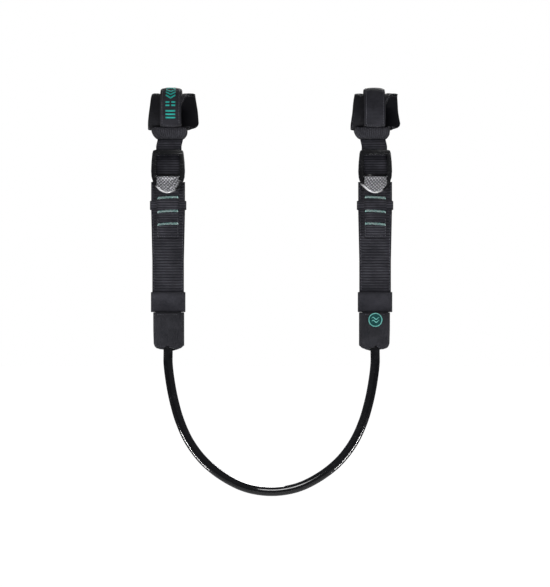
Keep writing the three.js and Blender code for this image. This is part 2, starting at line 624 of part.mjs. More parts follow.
function strapUnit(side, name) {
  const unit = new THREE.Group();
  unit.position.x = (side * STRAP_SPACING) / 2;
  const pinHalf = BUCKLE_HALF_WIDTH - 0.8;
  const barHalf = BUCKLE_HALF_WIDTH - 3.2;
  const pin = rodAlongX(PIVOT_PIN_RADIUS, -pinHalf, pinHalf, PIVOT_Y, PIVOT_Z);
  const bar = rodAlongX(ANCHOR_BAR_RADIUS, -barHalf, barHalf, anchorBarY, ANCHOR_BAR_Z);
  const whippingTop = ROPE_TOP - 1;
  const whippingBottom = whippingTop - WHIPPING_LENGTH;
  const whipping = ringAt(ROPE_DIAMETER / 2 + GAP, WHIPPING_THICKNESS, whippingTop, whippingBottom);
  unit.add(
    cuffGroup(side, name),
    piece(`${name}_adjuster_webbing`, adjusterWebbing(side), finishes.webbing),
    piece(`${name}_tail_fold`, tailFold(side), finishes.webbing),
    piece(`${name}_buckle_frame`, buckleFrame(), finishes.moulded),
    piece(`${name}_cam_lever`, camLever(), finishes.moulded),
    piece(`${name}_thumb_pad`, thumbPad(), finishes.pad),
    piece(`${name}_cam_pin`, pin, finishes.steel),
    piece(`${name}_cam_spring`, camSpring(), finishes.steel),
    piece(`${name}_anchor_bar`, bar, finishes.steel),
    piece(`${name}_anchor_webbing`, anchorWebbing(), finishes.webbing),
    piece(`${name}_strap_front`, strapLayer(strapFrontY, -layerSpread), finishes.webbing),
    piece(`${name}_strap_back`, strapLayer(strapBackY, layerSpread), finishes.cordura),
    piece(`${name}_upper_keeper`, keeper(UPPER_KEEPER, WEBBING_THICKNESS + 2 * GAP), finishes.webbing),
    piece(`${name}_lower_keeper`, keeper(LOWER_KEEPER, 3 + GAP), finishes.elastic),
    piece(`${name}_end_sleeve`, endSleeve(side), finishes.cordura),
    piece(`${name}_rope_whipping`, whipping, finishes.hookTape),
  );
  Object.entries(BARTACK_HEIGHTS).forEach(([place, z]) => {
    unit.add(piece(`${name}_bartack_${place}`, bartack(z), finishes.teal));
  });
  if (side > 0) unit.add(piece('right_sleeve_badge', badge(), finishes.teal));
  return unit;
}

const harnessLine = new THREE.Group();
harnessLine.add(
  strapUnit(-1, 'left'),
  strapUnit(1, 'right'),
  piece('line_tube', lineTube(), finishes.tube),
  piece('core_rope', coreRope(), finishes.rope),
);

export default harnessLine;
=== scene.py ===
"""Looks of an adjustable windsurf harness line, hanging from a boom by its two cuffs.

Sizes in the code are in millimetres and are turned into metres where a mesh is made.
+Z is up, +X runs along the boom, and the side with the buckles faces -Y.
"""
import math

import bmesh
import bpy
from bpy.props import FloatProperty, FloatVectorProperty, PointerProperty
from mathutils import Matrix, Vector, noise


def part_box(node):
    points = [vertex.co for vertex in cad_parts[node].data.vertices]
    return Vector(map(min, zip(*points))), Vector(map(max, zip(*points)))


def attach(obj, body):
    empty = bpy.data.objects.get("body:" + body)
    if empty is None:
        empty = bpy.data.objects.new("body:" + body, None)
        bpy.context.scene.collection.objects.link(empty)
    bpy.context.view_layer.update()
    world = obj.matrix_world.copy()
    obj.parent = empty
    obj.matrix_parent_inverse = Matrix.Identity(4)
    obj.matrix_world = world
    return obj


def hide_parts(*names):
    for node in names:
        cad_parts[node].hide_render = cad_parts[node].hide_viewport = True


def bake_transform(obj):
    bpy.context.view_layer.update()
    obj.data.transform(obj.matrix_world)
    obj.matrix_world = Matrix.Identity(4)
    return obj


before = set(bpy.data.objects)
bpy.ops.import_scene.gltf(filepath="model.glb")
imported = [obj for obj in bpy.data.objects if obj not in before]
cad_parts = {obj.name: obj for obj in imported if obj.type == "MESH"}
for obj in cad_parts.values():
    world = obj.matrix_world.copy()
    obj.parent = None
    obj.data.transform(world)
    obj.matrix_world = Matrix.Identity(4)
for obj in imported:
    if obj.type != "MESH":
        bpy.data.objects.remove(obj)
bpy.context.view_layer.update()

bl_info = {
    "name": "Windsurf harness line",
    "version": (1, 0, 0),
    "blender": (4, 5, 0),
    "location": "View3D > Sidebar > Harness line",
    "description": "Builds the webbing, cuffs, buckles and tube of a windsurf harness line",
    "category": "Object",
}

MM = 0.001
SIDES = {"left": -1, "right": 1}

# Radii about the boom's axis, to the middle of each layer of a cuff, in mm
LINING_RADIUS = 16.0
PANEL_RADIUS = 17.45
STRAP_RADIUS = 18.9
LOOP_RADIUS = 20.1
LAP_RADIUS = 20.15  # the flap's own strap, where it lies sewn down behind the hinge
HOOK_RADIUS = 21.0
FLAP_RADIUS = 22.2
PRINT_RADIUS = 23.3

CLOSURE_SHIFT = 1.1  # centre line of the narrow strap, right of the neck's
NARROW_WIDTH = 20.8
NARROW_THICKNESS = 1.15
FLAP_WIDTH = 20.9
FLAP_CROWN = 1.5  # how far its middle stands above its edges
PATCH_WIDTH = 18.6
PRINT_WIDTH = 9.6
ADJUSTER_WIDTH = 25.5
TAIL_WIDTH = 24.8
TAIL_TOP = -177.05  # where the folded end meets the rest of the tail
WIDE_THICKNESS = 1.15
KEEPER_TOP = -88.6  # of the upper keeper, which the anchor webbing passes over
KEEPER_FOOT = -98.4
STRAP_FACE = -3.02  # where stitches lie on the wide strap
ANCHOR_FACE = -5.62  # and on the anchor webbing
LINE_DEPTH = -1.65
TUBE_TOP = -226.0  # end of the tube inside a sleeve
STRAP_LAYERS = (  # piece, node, depth, depth inside the sleeve, finish, slot, seed of its waves
    ("face", "strap_front", -2.4, -5.75, "Wide webbing", "wide_webbing", 6.0),
    ("lining", "strap_back", -0.9, 2.45, "Strap backing", "strap_backing", 8.0),
)
LINE_ROUTE = (  # (x, z) of the right half of the loop
    (103.4, -240), (103.4, -251.2), (101.2, -269.7), (97.4, -289.2), (91.4, -309.7),
    (81.8, -330.3), (67.3, -349.2), (48, -364.6), (25.2, -375.6), (0, -379.3),
)
PALE_YARN = (0.55, 0.55, 0.58)  # frayed white yarns at worn edges


# ------------------------------------------------------------------ sizes and colours
def length(name, description, millimetres):
    return FloatProperty(name=name, description=description, default=millimetres * MM, unit="LENGTH",
                         precision=5)


def colour(name, description, rgb):
    return FloatVectorProperty(name=name, description=description, default=rgb, subtype="COLOR",
                               min=0, max=1)


class FabricSettings(bpy.types.PropertyGroup):
    """Weave, thread and colours of the webbing and cloth"""
    rib_pitch: length("Rib pitch", "Distance between the ribs of the narrow webbing", 2.5)
    wide_rib_pitch: length("Wide rib pitch", "Distance between the ribs of the wide strap", 2.8)
    yarn_pitch: length("Yarn pitch", "Distance between the yarns along a webbing", 0.75)
    cloth_pitch: length("Cloth pitch", "Distance between the yarns of the cuff and sleeve cloth", 0.55)
    stitch_pitch: length("Stitch pitch", "Distance from one stitch to the next", 2.6)
    thread_thickness: length("Thread thickness", "Thickness of the sewing thread", 0.46)
    black: colour("Black", "Colour of the dyed webbing", (0.0065, 0.0065, 0.0095))
    faded: colour("Faded", "Colour of lint and of the highest yarns", (0.075, 0.074, 0.090))
    teal: colour("Teal", "Colour of the bartacks and prints", (0.03, 0.46, 0.40))
    aqua: colour("Aqua", "Pale colour of the bartacks' raised yarns", (0.74, 0.95, 0.92))


class CuffSettings(bpy.types.PropertyGroup):
    """Shape of the two boom cuffs"""
    bulge: length("Bulge", "How far the padded cuff swells between its seams", 0.55)
    wrinkle: length("Wrinkle", "Height of the wrinkles in the cuff", 0.28)
    pleat: length("Pleat", "Depth of the gathers in the collar", 1.25)
    pleat_pitch: length("Pleat pitch", "Distance between the gathers in the collar", 2.7)
    seam_inset: length("Seam inset", "Distance from a cuff's end to its row of stitches", 1.8)


class BuckleSettings(bpy.types.PropertyGroup):
    """Shape and finish of the two cam buckles"""
    edge_round: length("Edge radius", "Radius on the moulded edges", 0.55)
    pad_crown: length("Pad crown", "How far the thumb pad's middle stands above its rim", 0.75)
    moulded: colour("Moulded", "Colour of the glossy frame and lever", (0.005, 0.005, 0.006))
    silver: colour("Silver", "Colour of the thumb pad", (0.15, 0.15, 0.16))


class LineSettings(bpy.types.PropertyGroup):
    """The plastic tube over the rope"""
    diameter: length("Diameter", "Outer diameter of the tube", 9.3)
    run: length("Length", "Length of the tube along its centre line", 415)
    black: colour("Black", "Colour of the tube", (0.004, 0.004, 0.005))


class StageSettings(bpy.types.PropertyGroup):
    """Floor, lights and camera"""
    distance: length("Camera distance", "From the camera to the line's plane", 2201)
    across: length("Camera X", "Where the camera stands along the boom", 3.4)
    height: length("Camera height", "Height of the camera from the boom's axis", -181.5)
    lens: FloatProperty(name="Lens", description="Focal length of the camera", default=135, subtype="NONE")
    floor: length("Floor height", "Height of the floor from the boom's axis", -1250)
    key: FloatProperty(name="Key light", description="Power of the large front light", default=16,
                       unit="POWER")
    strip: FloatProperty(name="Strip lights", description="Power of each upright side light", default=7,
                         unit="POWER")


# ------------------------------------------------------------------ frame helpers
def cad(node):
    """Lowest and highest corners of a CAD node, in mm"""
    low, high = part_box(node)
    return Vector(low) / MM, Vector(high) / MM


def strap_centre(side):
    low, high = cad(f"{side}_strap_front")
    return (low.x + high.x) / 2


def neck_centre(side):
    low, high = cad(f"{side}_boom_strap")
    return (low.x + high.x) / 2 - CLOSURE_SHIFT


def along(points, value):
    """Reads a line of (position, value) pairs, in rising or falling order of position"""
    if points[0][0] > points[-1][0]:
        points = points[::-1]
    if value <= points[0][0]:
        return points[0][1]
    for (a, low), (b, high) in zip(points, points[1:]):
        if value <= b:
            return low + (high - low) * (value - a) / (b - a)
    return points[-1][1]


def ease(value):
    value = min(max(value, 0.0), 1.0)
    return value * value * (3 - 2 * value)


def on_cuff(radius, degrees):
    """(y, z) on a circle about the boom, at an angle from its top, positive to the front"""
    angle = math.radians(degrees)
    return -radius * math.sin(angle), radius * math.cos(angle)


def arc(radius, start, end, step=3.0):
    count = max(2, round(abs(end - start) / step))
    return [on_cuff(radius, start + (end - start) * i / count) for i in range(count + 1)]


def put(obj, body, material, slot, *nodes):
    """Links a piece, gives it its finish, and sets it on its body in place of its CAD nodes.
    A piece that bends between two bodies has no body here.
    """
    bpy.context.scene.collection.objects.link(obj)
    obj.data.materials.clear()
    obj.data.materials.append(bpy.data.materials[material])
    if body:
        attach(obj, body)
    if nodes:
        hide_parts(*nodes)
    return obj


# ------------------------------------------------------------------ mesh makers
def write_mesh(name, shells):
    """One object from shells of (points, faces, lays, rims), all in mm"""
    mesh = bpy.data.meshes.new(name)
    bm = bmesh.new()
    lay = bm.loops.layers.uv.new("lay")
    rim = bm.verts.layers.float.new("rim")
    for points, faces, lays, rims in shells:
        verts = [bm.verts.new(Vector(p) * MM) for p in points]
        for vert, value in zip(verts, rims):
            vert[rim] = value
        for corners in faces:
            face = bm.faces.new([verts[i] for i in corners])
            face.smooth = True
            for loop, i in zip(face.loops, corners):
                loop[lay].uv = (lays[i][0] * MM, lays[i][1] * MM)
    bmesh.ops.remove_doubles(bm, verts=bm.verts, dist=1e-7)
    bmesh.ops.dissolve_degenerate(bm, edges=bm.edges, dist=1e-8)
    bmesh.ops.recalc_face_normals(bm, faces=bm.faces)
    bm.to_mesh(mesh)
    bm.free()
    return bpy.data.objects.new(name, mesh)


def cloth(columns, rows, middle, half, closed=False):
    """A closed sheet about a middle surface; columns and rows are lists of places from 0 to 1.
    middle(u, v) is a point, half(u, v) half the thickness there. closed joins the last column to the first.
    """
    grid = [[Vector(middle(u, v)) for u in columns] for v in rows]
    wide, tall = len(columns), len(rows)
    across = [0.0]
    for i in range(1, wide):
        across.append(across[-1] + (grid[tall // 2][i] - grid[tall // 2][i - 1]).length)
    down = [0.0]
    for j in range(1, tall):
        down.append(down[-1] + (grid[j][wide // 2] - grid[j - 1][wide // 2]).length)
    points, lays, rims = [], [], []
    for sign in (1, -1):
        for j in range(tall):
            for i in range(wide):
                before, after = max(i - 1, 0), min(i + 1, wide - 1)
                if closed and i in (0, wide - 1):
                    before, after = wide - 2, 1
                du = grid[j][after] - grid[j][before]
                dv = grid[min(j + 1, tall - 1)][i] - grid[max(j - 1, 0)][i]
                normal = du.cross(dv).normalized()
                points.append(grid[j][i] + normal * (sign * half(columns[i], rows[j])))
                lays.append((across[i], down[j]))
                edge = min(down[j], down[-1] - down[j])
                if not closed:
                    edge = min(edge, across[i], across[-1] - across[i])
                rims.append(max(0.0, 1 - edge / 2.8))
    faces = []
    back = wide * tall
    for j in range(tall - 1):
        for i in range(wide - 1):
            a, b, c, d = j * wide + i, j * wide + i + 1, (j + 1) * wide + i + 1, (j + 1) * wide + i
            faces += [(a, b, c, d), (back + d, back + c, back + b, back + a)]
    for i in range(wide - 1):
        top, foot = i, (tall - 1) * wide + i
        faces += [(top + 1, top, back + top, back + top + 1), (foot, foot + 1, back + foot + 1, back + foot)]
    if not closed:
        for j in range(tall - 1):
            a, b = j * wide, (j + 1) * wide
            c, d = a + wide - 1, b + wide - 1
            faces += [(a, b, back + b, back + a), (d, c, back + c, back + d)]
    return points, faces, lays, rims


def resampled(route, step):
    """Evenly spaced points along a line of (y, z) points, with the distance along it"""
    spots = [0.0]
    for (a0, b0), (a1, b1) in zip(route, route[1:]):
        spots.append(spots[-1] + math.hypot(a1 - a0, b1 - b0))
    count = max(3, round(spots[-1] / step))
    out = []
    for k in range(count + 1):
        s = spots[-1] * k / count
        out.append((s, along(list(zip(spots, [p[0] for p in route])), s),
                    along(list(zip(spots, [p[1] for p in route])), s)))
    return out


def rolled(edge, roll):
    """Share of a cloth's full thickness at a distance from its rolled edge"""
    return math.sqrt(max(0.0, 1 - (1 - edge / roll) ** 2)) if edge < roll else 1.0


def tape_columns(count=10):
    """Places across a tape, closer together at its rolled edges"""
    edge = (0.0, 0.006, 0.018, 0.036, 0.06)
    inner = [0.06 + 0.88 * i / count for i in range(1, count)]
    return [*edge, *inner, *[1 - place for place in reversed(edge)]]


def as_function(value):
    """A size along a tape, given as a number or as a function of height"""
    return value if callable(value) else lambda z: value


def crowned(share, crown):
    """How far a crowned tape stands above its edges; share runs from -1 to 1 across it"""
    return crown * (1 - abs(share) ** 2.6) - 0.3 * crown * share ** 8


def tape(route, width, thickness, centre, step=1.6, wave=0.06, seed=0.0, crown=0.0):
    """A length of webbing along a (y, z) route. width and centre are numbers, or functions of z."""
    spots = resampled(route, step)
    last = len(spots) - 1
    total = spots[-1][0]
    width_at, centre_at = as_function(width), as_function(centre)

    def middle(u, v):
        place = round(v * last)
        s, y, z = spots[place]
        x = centre_at(z) + (u - 0.5) * width_at(z)
        lift = wave * noise.noise(Vector((u * 3 + seed, s * 0.09, seed))) + crowned(2 * u - 1, crown)
        place = max(1, min(last - 1, place))
        dy, dz = (spots[place + 1][k] - spots[place - 1][k] for k in (1, 2))
        size = math.hypot(dy, dz) or 1.0
        return x, y + lift * dz / size, z - lift * dy / size

    def half(u, v):
        z = spots[round(v * last)][2]
        edge = min(min(u, 1 - u) * width_at(z), min(v, 1 - v) * total)
        roll = thickness * 0.6
        return thickness / 2 * rolled(edge, roll) + (1e-4 if edge < roll else 0.0)

    rows = [k / last for k in range(last + 1)]
    return cloth(tape_columns(), rows, middle, half)


def to_front(point):
    """Outward direction on a strap's front"""
    return Vector((0, -1, 0))


def to_back(point):
    """Outward direction on a strap's back"""
    return Vector((0, 1, 0))


def from_boom(point):
    """Outward direction at a point on a cuff"""
    return Vector((0, point.y, point.z))


def across_row(x, reach, y, z):
    """Points 1 mm apart across a strap, reach mm to each side of x"""
    return [Vector((x - reach + k, y, z)) for k in range(2 * reach + 1)]


def stitch_row(points, outward, pitch, thickness):
    """Separate stitches along a line of points; outward(point) is the cloth's normal there"""
    shells = []
    spots = [0.0]
    for a, b in zip(points, points[1:]):
        spots.append(spots[-1] + (b - a).length)

    def at(s):
        for k in range(len(spots) - 1):
            if s <= spots[k + 1]:
                return points[k].lerp(points[k + 1], (s - spots[k]) / (spots[k + 1] - spots[k]))
        return points[-1]

    radius = thickness / 2
    count = int(spots[-1] // pitch)
    for k in range(count):
        start = k * pitch + 0.15 * pitch
        ring_spots = (0.0, 0.12, 0.5, 0.88, 1.0)
        bulk = (0.25, 0.85, 1.0, 0.85, 0.25)
        verts, faces, lays = [], [], []
        for share, fat in zip(ring_spots, bulk):
            s = start + share * 0.7 * pitch
            here = at(s)
            ahead = (at(s + 0.1) - at(max(s - 0.1, 0))).normalized()
            up = outward(here).normalized()
            sideways = ahead.cross(up)
            for q in range(6):
                angle = math.tau * q / 6
                offset = sideways * math.cos(angle) * fat + up * (math.sin(angle) * fat + 0.35 * fat)
                verts.append(here + offset * radius)
                lays.append((q * 0.1, s))
        for r in range(4):
            for q in range(6):
                faces.append((r * 6 + q, r * 6 + (q + 1) % 6, r * 6 + 6 + (q + 1) % 6, r * 6 + 6 + q))
        faces += [tuple(range(5, -1, -1)), tuple(range(24, 30))]
        shells.append((verts, faces, lays, [0.0] * len(verts)))
    return shells


def rounded_part(name, node, radius, segments=3):
    """A moulded part: the CAD solid with its flat faces merged and its edges rounded"""
    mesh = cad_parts[node].data.copy()
    mesh.name = name
    bm = bmesh.new()
    bm.from_mesh(mesh)
    bmesh.ops.remove_doubles(bm, verts=bm.verts, dist=2e-6)
    bmesh.ops.dissolve_limit(bm, angle_limit=math.radians(2), verts=bm.verts, edges=bm.edges)
    for face in bm.faces:
        face.smooth = True
    bm.to_mesh(mesh)
    bm.free()
    obj = bpy.data.objects.new(name, mesh)
    bevel = obj.modifiers.new("Moulded edges", "BEVEL")
    bevel.width = radius
    bevel.segments = segments
    bevel.limit_method = "ANGLE"
    bevel.angle_limit = math.radians(25)
    bevel.use_clamp_overlap = True
    bevel.harden_normals = True
    return obj


# ------------------------------------------------------------------ node helpers
def add(tree, kind, inputs=(), **settings):
    """Adds a node; inputs are (socket, value or output) pairs"""
    node = tree.nodes.new(kind)
    for key, value in settings.items():
        setattr(node, key, value)
    for socket, value in dict(inputs).items():
        if isinstance(value, bpy.types.NodeSocket):
            tree.links.new(value, node.inputs[socket])
        else:
            node.inputs[socket].default_value = value
    return node


def maths(tree, operation, a, b=0.0, c=0.0, clamp=False):
    return add(tree, "ShaderNodeMath", {0: a, 1: b, 2: c}, operation=operation, use_clamp=clamp).outputs[0]


def mixed(tree, factor, a, b):
    node = add(tree, "ShaderNodeMix", {0: factor, 6: a, 7: b}, data_type="RGBA")
    return node.outputs[2]


def rgba(rgb, share=1.0):
    return (rgb[0] * share, rgb[1] * share, rgb[2] * share, 1.0)


def group(name, inputs, outputs):
    """A shader node group with named sockets; inputs are (name, kind, default)"""
    tree = bpy.data.node_groups.new(name, "ShaderNodeTree")
    for label, kind, default in inputs:
        socket = tree.interface.new_socket(label, in_out="INPUT", socket_type=kind)
        if default is not None:
            socket.default_value = default
    for label in outputs:
        tree.interface.new_socket(label, in_out="OUTPUT", socket_type="NodeSocketFloat")
    return tree, tree.nodes.new("NodeGroupInput"), tree.nodes.new("NodeGroupOutput")


def use(tree, name, **inputs):
    node = tree.nodes.new("ShaderNodeGroup")
    node.node_tree = bpy.data.node_groups[name]
    for label, value in inputs.items():
        socket = node.inputs[label.replace("_", " ")]
        if isinstance(value, bpy.types.NodeSocket):
            tree.links.new(value, socket)
        else:
            socket.default_value = value
    return node


def ribbed_weave_group():
    """Webbing: ribs across the tape, each one made of short yarns that step from rib to rib"""
    tree, given, out = group("Ribbed weave", [
        ("Lay", "NodeSocketVector", None), ("Rib Pitch", "NodeSocketFloat", 0.002),
        ("Yarn Pitch", "NodeSocketFloat", 0.0007),
    ], ["Height", "Valley"])
    parts = add(tree, "ShaderNodeSeparateXYZ", {0: given.outputs["Lay"]})
    rib = maths(tree, "DIVIDE", parts.outputs[1], given.outputs["Rib Pitch"])
    yarn = maths(tree, "DIVIDE", parts.outputs[0], given.outputs["Yarn Pitch"])
    step = maths(tree, "MULTIPLY", maths(tree, "FLOOR", rib), 0.5)
    yarn = maths(tree, "ADD", yarn, step)
    rib_wave = maths(tree, "ABSOLUTE", maths(tree, "SINE", maths(tree, "MULTIPLY", rib, math.pi)))
    rib_wave = maths(tree, "POWER", rib_wave, 0.6)
    yarn_wave = maths(tree, "ABSOLUTE", maths(tree, "SINE", maths(tree, "MULTIPLY", yarn, math.pi)))
    yarn_wave = maths(tree, "MULTIPLY_ADD", yarn_wave, 0.4, 0.6)
    height = maths(tree, "MULTIPLY", rib_wave, yarn_wave)
    valley = maths(tree, "SUBTRACT", 1.0, height, clamp=True)
    tree.links.new(height, out.inputs["Height"])
    tree.links.new(valley, out.inputs["Valley"])


def plain_weave_group():
    """Cloth: yarns that go over and under each other"""
    tree, given, out = group("Plain weave", [
        ("Lay", "NodeSocketVector", None), ("Pitch", "NodeSocketFloat", 0.0005),
    ], ["Height", "Valley"])
    parts = add(tree, "ShaderNodeSeparateXYZ", {0: given.outputs["Lay"]})
    waves = []
    for axis in (0, 1):
        place = maths(tree, "DIVIDE", parts.outputs[axis], given.outputs["Pitch"])
        waves.append(maths(tree, "SINE", maths(tree, "MULTIPLY", place, math.pi)))
    over = maths(tree, "MULTIPLY", waves[0], waves[1])
    a = maths(tree, "ABSOLUTE", waves[0])
    b = maths(tree, "ABSOLUTE", waves[1])
    up = maths(tree, "GREATER_THAN", over, 0.0)
    height = add(tree, "ShaderNodeMix", {0: up, 2: a, 3: b}, data_type="FLOAT").outputs[0]
    valley = maths(tree, "SUBTRACT", 1.0, height, clamp=True)
    tree.links.new(height, out.inputs["Height"])
    tree.links.new(valley, out.inputs["Valley"])


def lint_group():
    """Fluff, salt and fading: broad drifts with fine specks on them"""
    tree, given, out = group("Lint", [
        ("Position", "NodeSocketVector", None), ("Drift Scale", "NodeSocketFloat", 60.0),
        ("Speck Scale", "NodeSocketFloat", 1400.0),
    ], ["Drift", "Specks"])
    drift = add(tree, "ShaderNodeTexNoise", {
        "Vector": given.outputs["Position"], "Scale": given.outputs["Drift Scale"], "Detail": 3.0,
        "Roughness": 0.6,
    })
    specks = add(tree, "ShaderNodeTexNoise", {
        "Vector": given.outputs["Position"], "Scale": given.outputs["Speck Scale"], "Detail": 2.0,
        "Roughness": 0.7,
    })
    spread = add(tree, "ShaderNodeMapRange", {0: drift.outputs["Fac"], 1: 0.35, 2: 0.68, 3: 0.0, 4: 1.0})
    sharp = add(tree, "ShaderNodeMapRange", {0: specks.outputs["Fac"], 1: 0.58, 2: 0.74, 3: 0.0, 4: 1.0})
    tree.links.new(spread.outputs[0], out.inputs["Drift"])
    tree.links.new(sharp.outputs[0], out.inputs["Specks"])


def scuff_group():
    """Handling marks: fine streaks in patches"""
    tree, given, out = group("Scuffs", [
        ("Position", "NodeSocketVector", None), ("Scale", "NodeSocketFloat", 300.0),
    ], ["Mask", "Height"])
    stretch = add(tree, "ShaderNodeMapping", {
        "Vector": given.outputs["Position"], "Scale": (1.0, 0.35, 3.2), "Rotation": (0.3, 0.5, 0.2),
    })
    streaks = add(tree, "ShaderNodeTexNoise", {
        "Vector": stretch.outputs[0], "Scale": given.outputs["Scale"], "Detail": 5.0, "Roughness": 0.75,
    })
    patches = add(tree, "ShaderNodeTexNoise", {
        "Vector": given.outputs["Position"], "Scale": 90.0, "Detail": 2.0,
    })
    fine = add(tree, "ShaderNodeMapRange", {0: streaks.outputs["Fac"], 1: 0.5, 2: 0.72, 3: 0.0, 4: 1.0})
    where = add(tree, "ShaderNodeMapRange", {0: patches.outputs["Fac"], 1: 0.4, 2: 0.62, 3: 0.0, 4: 1.0})
    mask = maths(tree, "MULTIPLY", fine.outputs[0], where.outputs[0])
    tree.links.new(mask, out.inputs["Mask"])
    tree.links.new(streaks.outputs["Fac"], out.inputs["Height"])


def material_with_shader(name, **constants):
    material = bpy.data.materials.new(name)
    material.use_nodes = True
    tree = material.node_tree
    shader = tree.nodes["Principled BSDF"]
    for label, value in constants.items():
        shader.inputs[label.replace("_", " ")].default_value = value
    return tree, shader


def fabric(name, dark, light, weave, pitches, depth, contrast, rough=0.82, sheen=0.08, frayed=0.25,
           from_position=False, turned=False):
    """A woven finish. weave names the group and pitches are its sizes; depth is the bump's, in metres"""
    tree, shader = material_with_shader(name, Sheen_Weight=sheen, Sheen_Roughness=0.45,
                                        Specular_IOR_Level=0.25)
    position = add(tree, "ShaderNodeTexCoord").outputs["Object"]
    lay = position if from_position else add(tree, "ShaderNodeUVMap", uv_map="lay").outputs[0]
    if turned:
        lay = add(tree, "ShaderNodeMapping", {"Vector": lay, "Rotation": (0, 0, math.radians(90))}).outputs[0]
    woven = use(tree, weave, Lay=lay, **pitches)
    lint = use(tree, "Lint", Position=position)
    rim = add(tree, "ShaderNodeAttribute", attribute_name="rim").outputs["Fac"]
    # painted shade: near a piece's edges, where the rim attribute is high, the lighter weave tops are dimmed
    # by up to three quarters, standing in for the shade on rounded edges
    edge_shade = maths(tree, "MULTIPLY", rim, 0.75)
    top = maths(tree, "POWER", woven.outputs["Height"], 2.0)
    lit = maths(tree, "MULTIPLY", top, contrast)
    drift = maths(tree, "MULTIPLY_ADD", lint.outputs["Drift"], 0.7, 0.35)
    lit = maths(tree, "MULTIPLY", maths(tree, "MULTIPLY", lit, drift), maths(tree, "SUBTRACT", 1.0, edge_shade))
    specks = maths(tree, "MULTIPLY", lint.outputs["Specks"], 0.3)
    fluff = maths(tree, "MULTIPLY", rim, lint.outputs["Specks"])
    frays = maths(tree, "MULTIPLY", fluff, frayed * 3)
    lit = maths(tree, "ADD", lit, maths(tree, "ADD", specks, frays), clamp=True)
    base = mixed(tree, lit, rgba(dark), rgba(light))
    if frayed > 0.45:
        base = mixed(tree, fluff, base, rgba(PALE_YARN))
    tree.links.new(base, shader.inputs["Base Color"])
    roughness = maths(tree, "MULTIPLY_ADD", woven.outputs["Valley"], 0.15, rough - 0.08, clamp=True)
    tree.links.new(roughness, shader.inputs["Roughness"])
    fuzz = maths(tree, "MULTIPLY", lint.outputs["Specks"], 0.25)
    bump = add(tree, "ShaderNodeBump", {
        "Height": maths(tree, "ADD", woven.outputs["Height"], fuzz), "Distance": depth, "Strength": 0.9,
    })
    tree.links.new(bump.outputs[0], shader.inputs["Normal"])


def moulded(name, rgb, rough, scuff_rough, coat, metallic=0.0, depth=0.00003, edge_highlight=0.0):
    """A moulded, drawn or extruded finish with handling marks; its last argument is how far its edges
    that face down and to the front are lightened grey, a painted highlight"""
    tree, shader = material_with_shader(name, Metallic=metallic, Coat_Weight=coat, Coat_Roughness=0.08)
    position = add(tree, "ShaderNodeTexCoord").outputs["Object"]
    scuffs = use(tree, "Scuffs", Position=position)
    base = mixed(tree, scuffs.outputs["Mask"], rgba(rgb), rgba([min(1.0, c * 2.6 + 0.01) for c in rgb]))
    if edge_highlight:
        # painted highlight: edges whose normals face down and to the front are mixed towards pale grey,
        # standing in for the glint of the lights on the lower edges of the top bar and lever
        normal = add(tree, "ShaderNodeNewGeometry").outputs["Normal"]
        facing = add(tree, "ShaderNodeVectorMath", {0: normal, 1: (0.0, -0.7, -0.71)},
                     operation="DOT_PRODUCT")
        edge = add(tree, "ShaderNodeMapRange", {0: facing.outputs["Value"], 1: 0.78, 2: 0.92, 3: 0.0,
                                                4: edge_highlight})
        base = mixed(tree, edge.outputs[0], base, rgba((0.6, 0.6, 0.62)))
    tree.links.new(base, shader.inputs["Base Color"])
    roughness = maths(tree, "MULTIPLY_ADD", scuffs.outputs["Mask"], scuff_rough, rough, clamp=True)
    tree.links.new(roughness, shader.inputs["Roughness"])
    bump = add(tree, "ShaderNodeBump", {"Height": scuffs.outputs["Height"], "Distance": depth,
                                        "Strength": 0.5})
    tree.links.new(bump.outputs[0], shader.inputs["Normal"])


def engraved_silver(name, rgb):
    """Silver-painted pad, engraved with two sets of crossing arcs under a worn high spot"""
    tree, shader = material_with_shader(name, Metallic=0.55, Coat_Weight=0.15, Coat_Roughness=0.2)
    position = add(tree, "ShaderNodeTexCoord").outputs["Object"]
    mirrored = add(tree, "ShaderNodeVectorMath", {0: position}, operation="ABSOLUTE").outputs[0]
    centred = add(tree, "ShaderNodeVectorMath", {0: mirrored, 1: (-LINE_ROUTE[0][0] * MM, 0, 0)},
                  operation="ADD").outputs[0]
    lines = []
    for shift, scale in (((0.025, 0.0, -0.045), 141.0), ((-0.024, 0.0, -0.050), 129.0)):
        moved = add(tree, "ShaderNodeVectorMath", {0: centred, 1: shift}, operation="ADD").outputs[0]
        rings = add(tree, "ShaderNodeTexWave", {"Vector": moved, "Scale": scale, "Distortion": 0.7,
                                                "Detail": 1.0, "Detail Scale": 1.0},
                    wave_type="RINGS", rings_direction="Y")
        lines.append(add(tree, "ShaderNodeMapRange", {0: rings.outputs["Fac"], 1: 0.12, 2: 0.6}).outputs[0])
    engraving = maths(tree, "MULTIPLY", lines[0], lines[1])
    scuffs = use(tree, "Scuffs", Position=position, Scale=420.0)
    tone = maths(tree, "MULTIPLY_ADD", engraving, 0.9, 0.1, clamp=True)
    base = mixed(tree, tone, rgba(rgb, 0.4), rgba(rgb, 3.0))
    base = mixed(tree, maths(tree, "MULTIPLY", scuffs.outputs["Mask"], 0.5), base, rgba((0.75, 0.76, 0.78)))
    tree.links.new(base, shader.inputs["Base Color"])
    roughness = maths(tree, "MULTIPLY_ADD", scuffs.outputs["Mask"], -0.12, 0.42, clamp=True)
    tree.links.new(roughness, shader.inputs["Roughness"])
    bump = add(tree, "ShaderNodeBump", {"Height": engraving, "Distance": 0.0003, "Strength": 0.9})
    tree.links.new(bump.outputs[0], shader.inputs["Normal"])


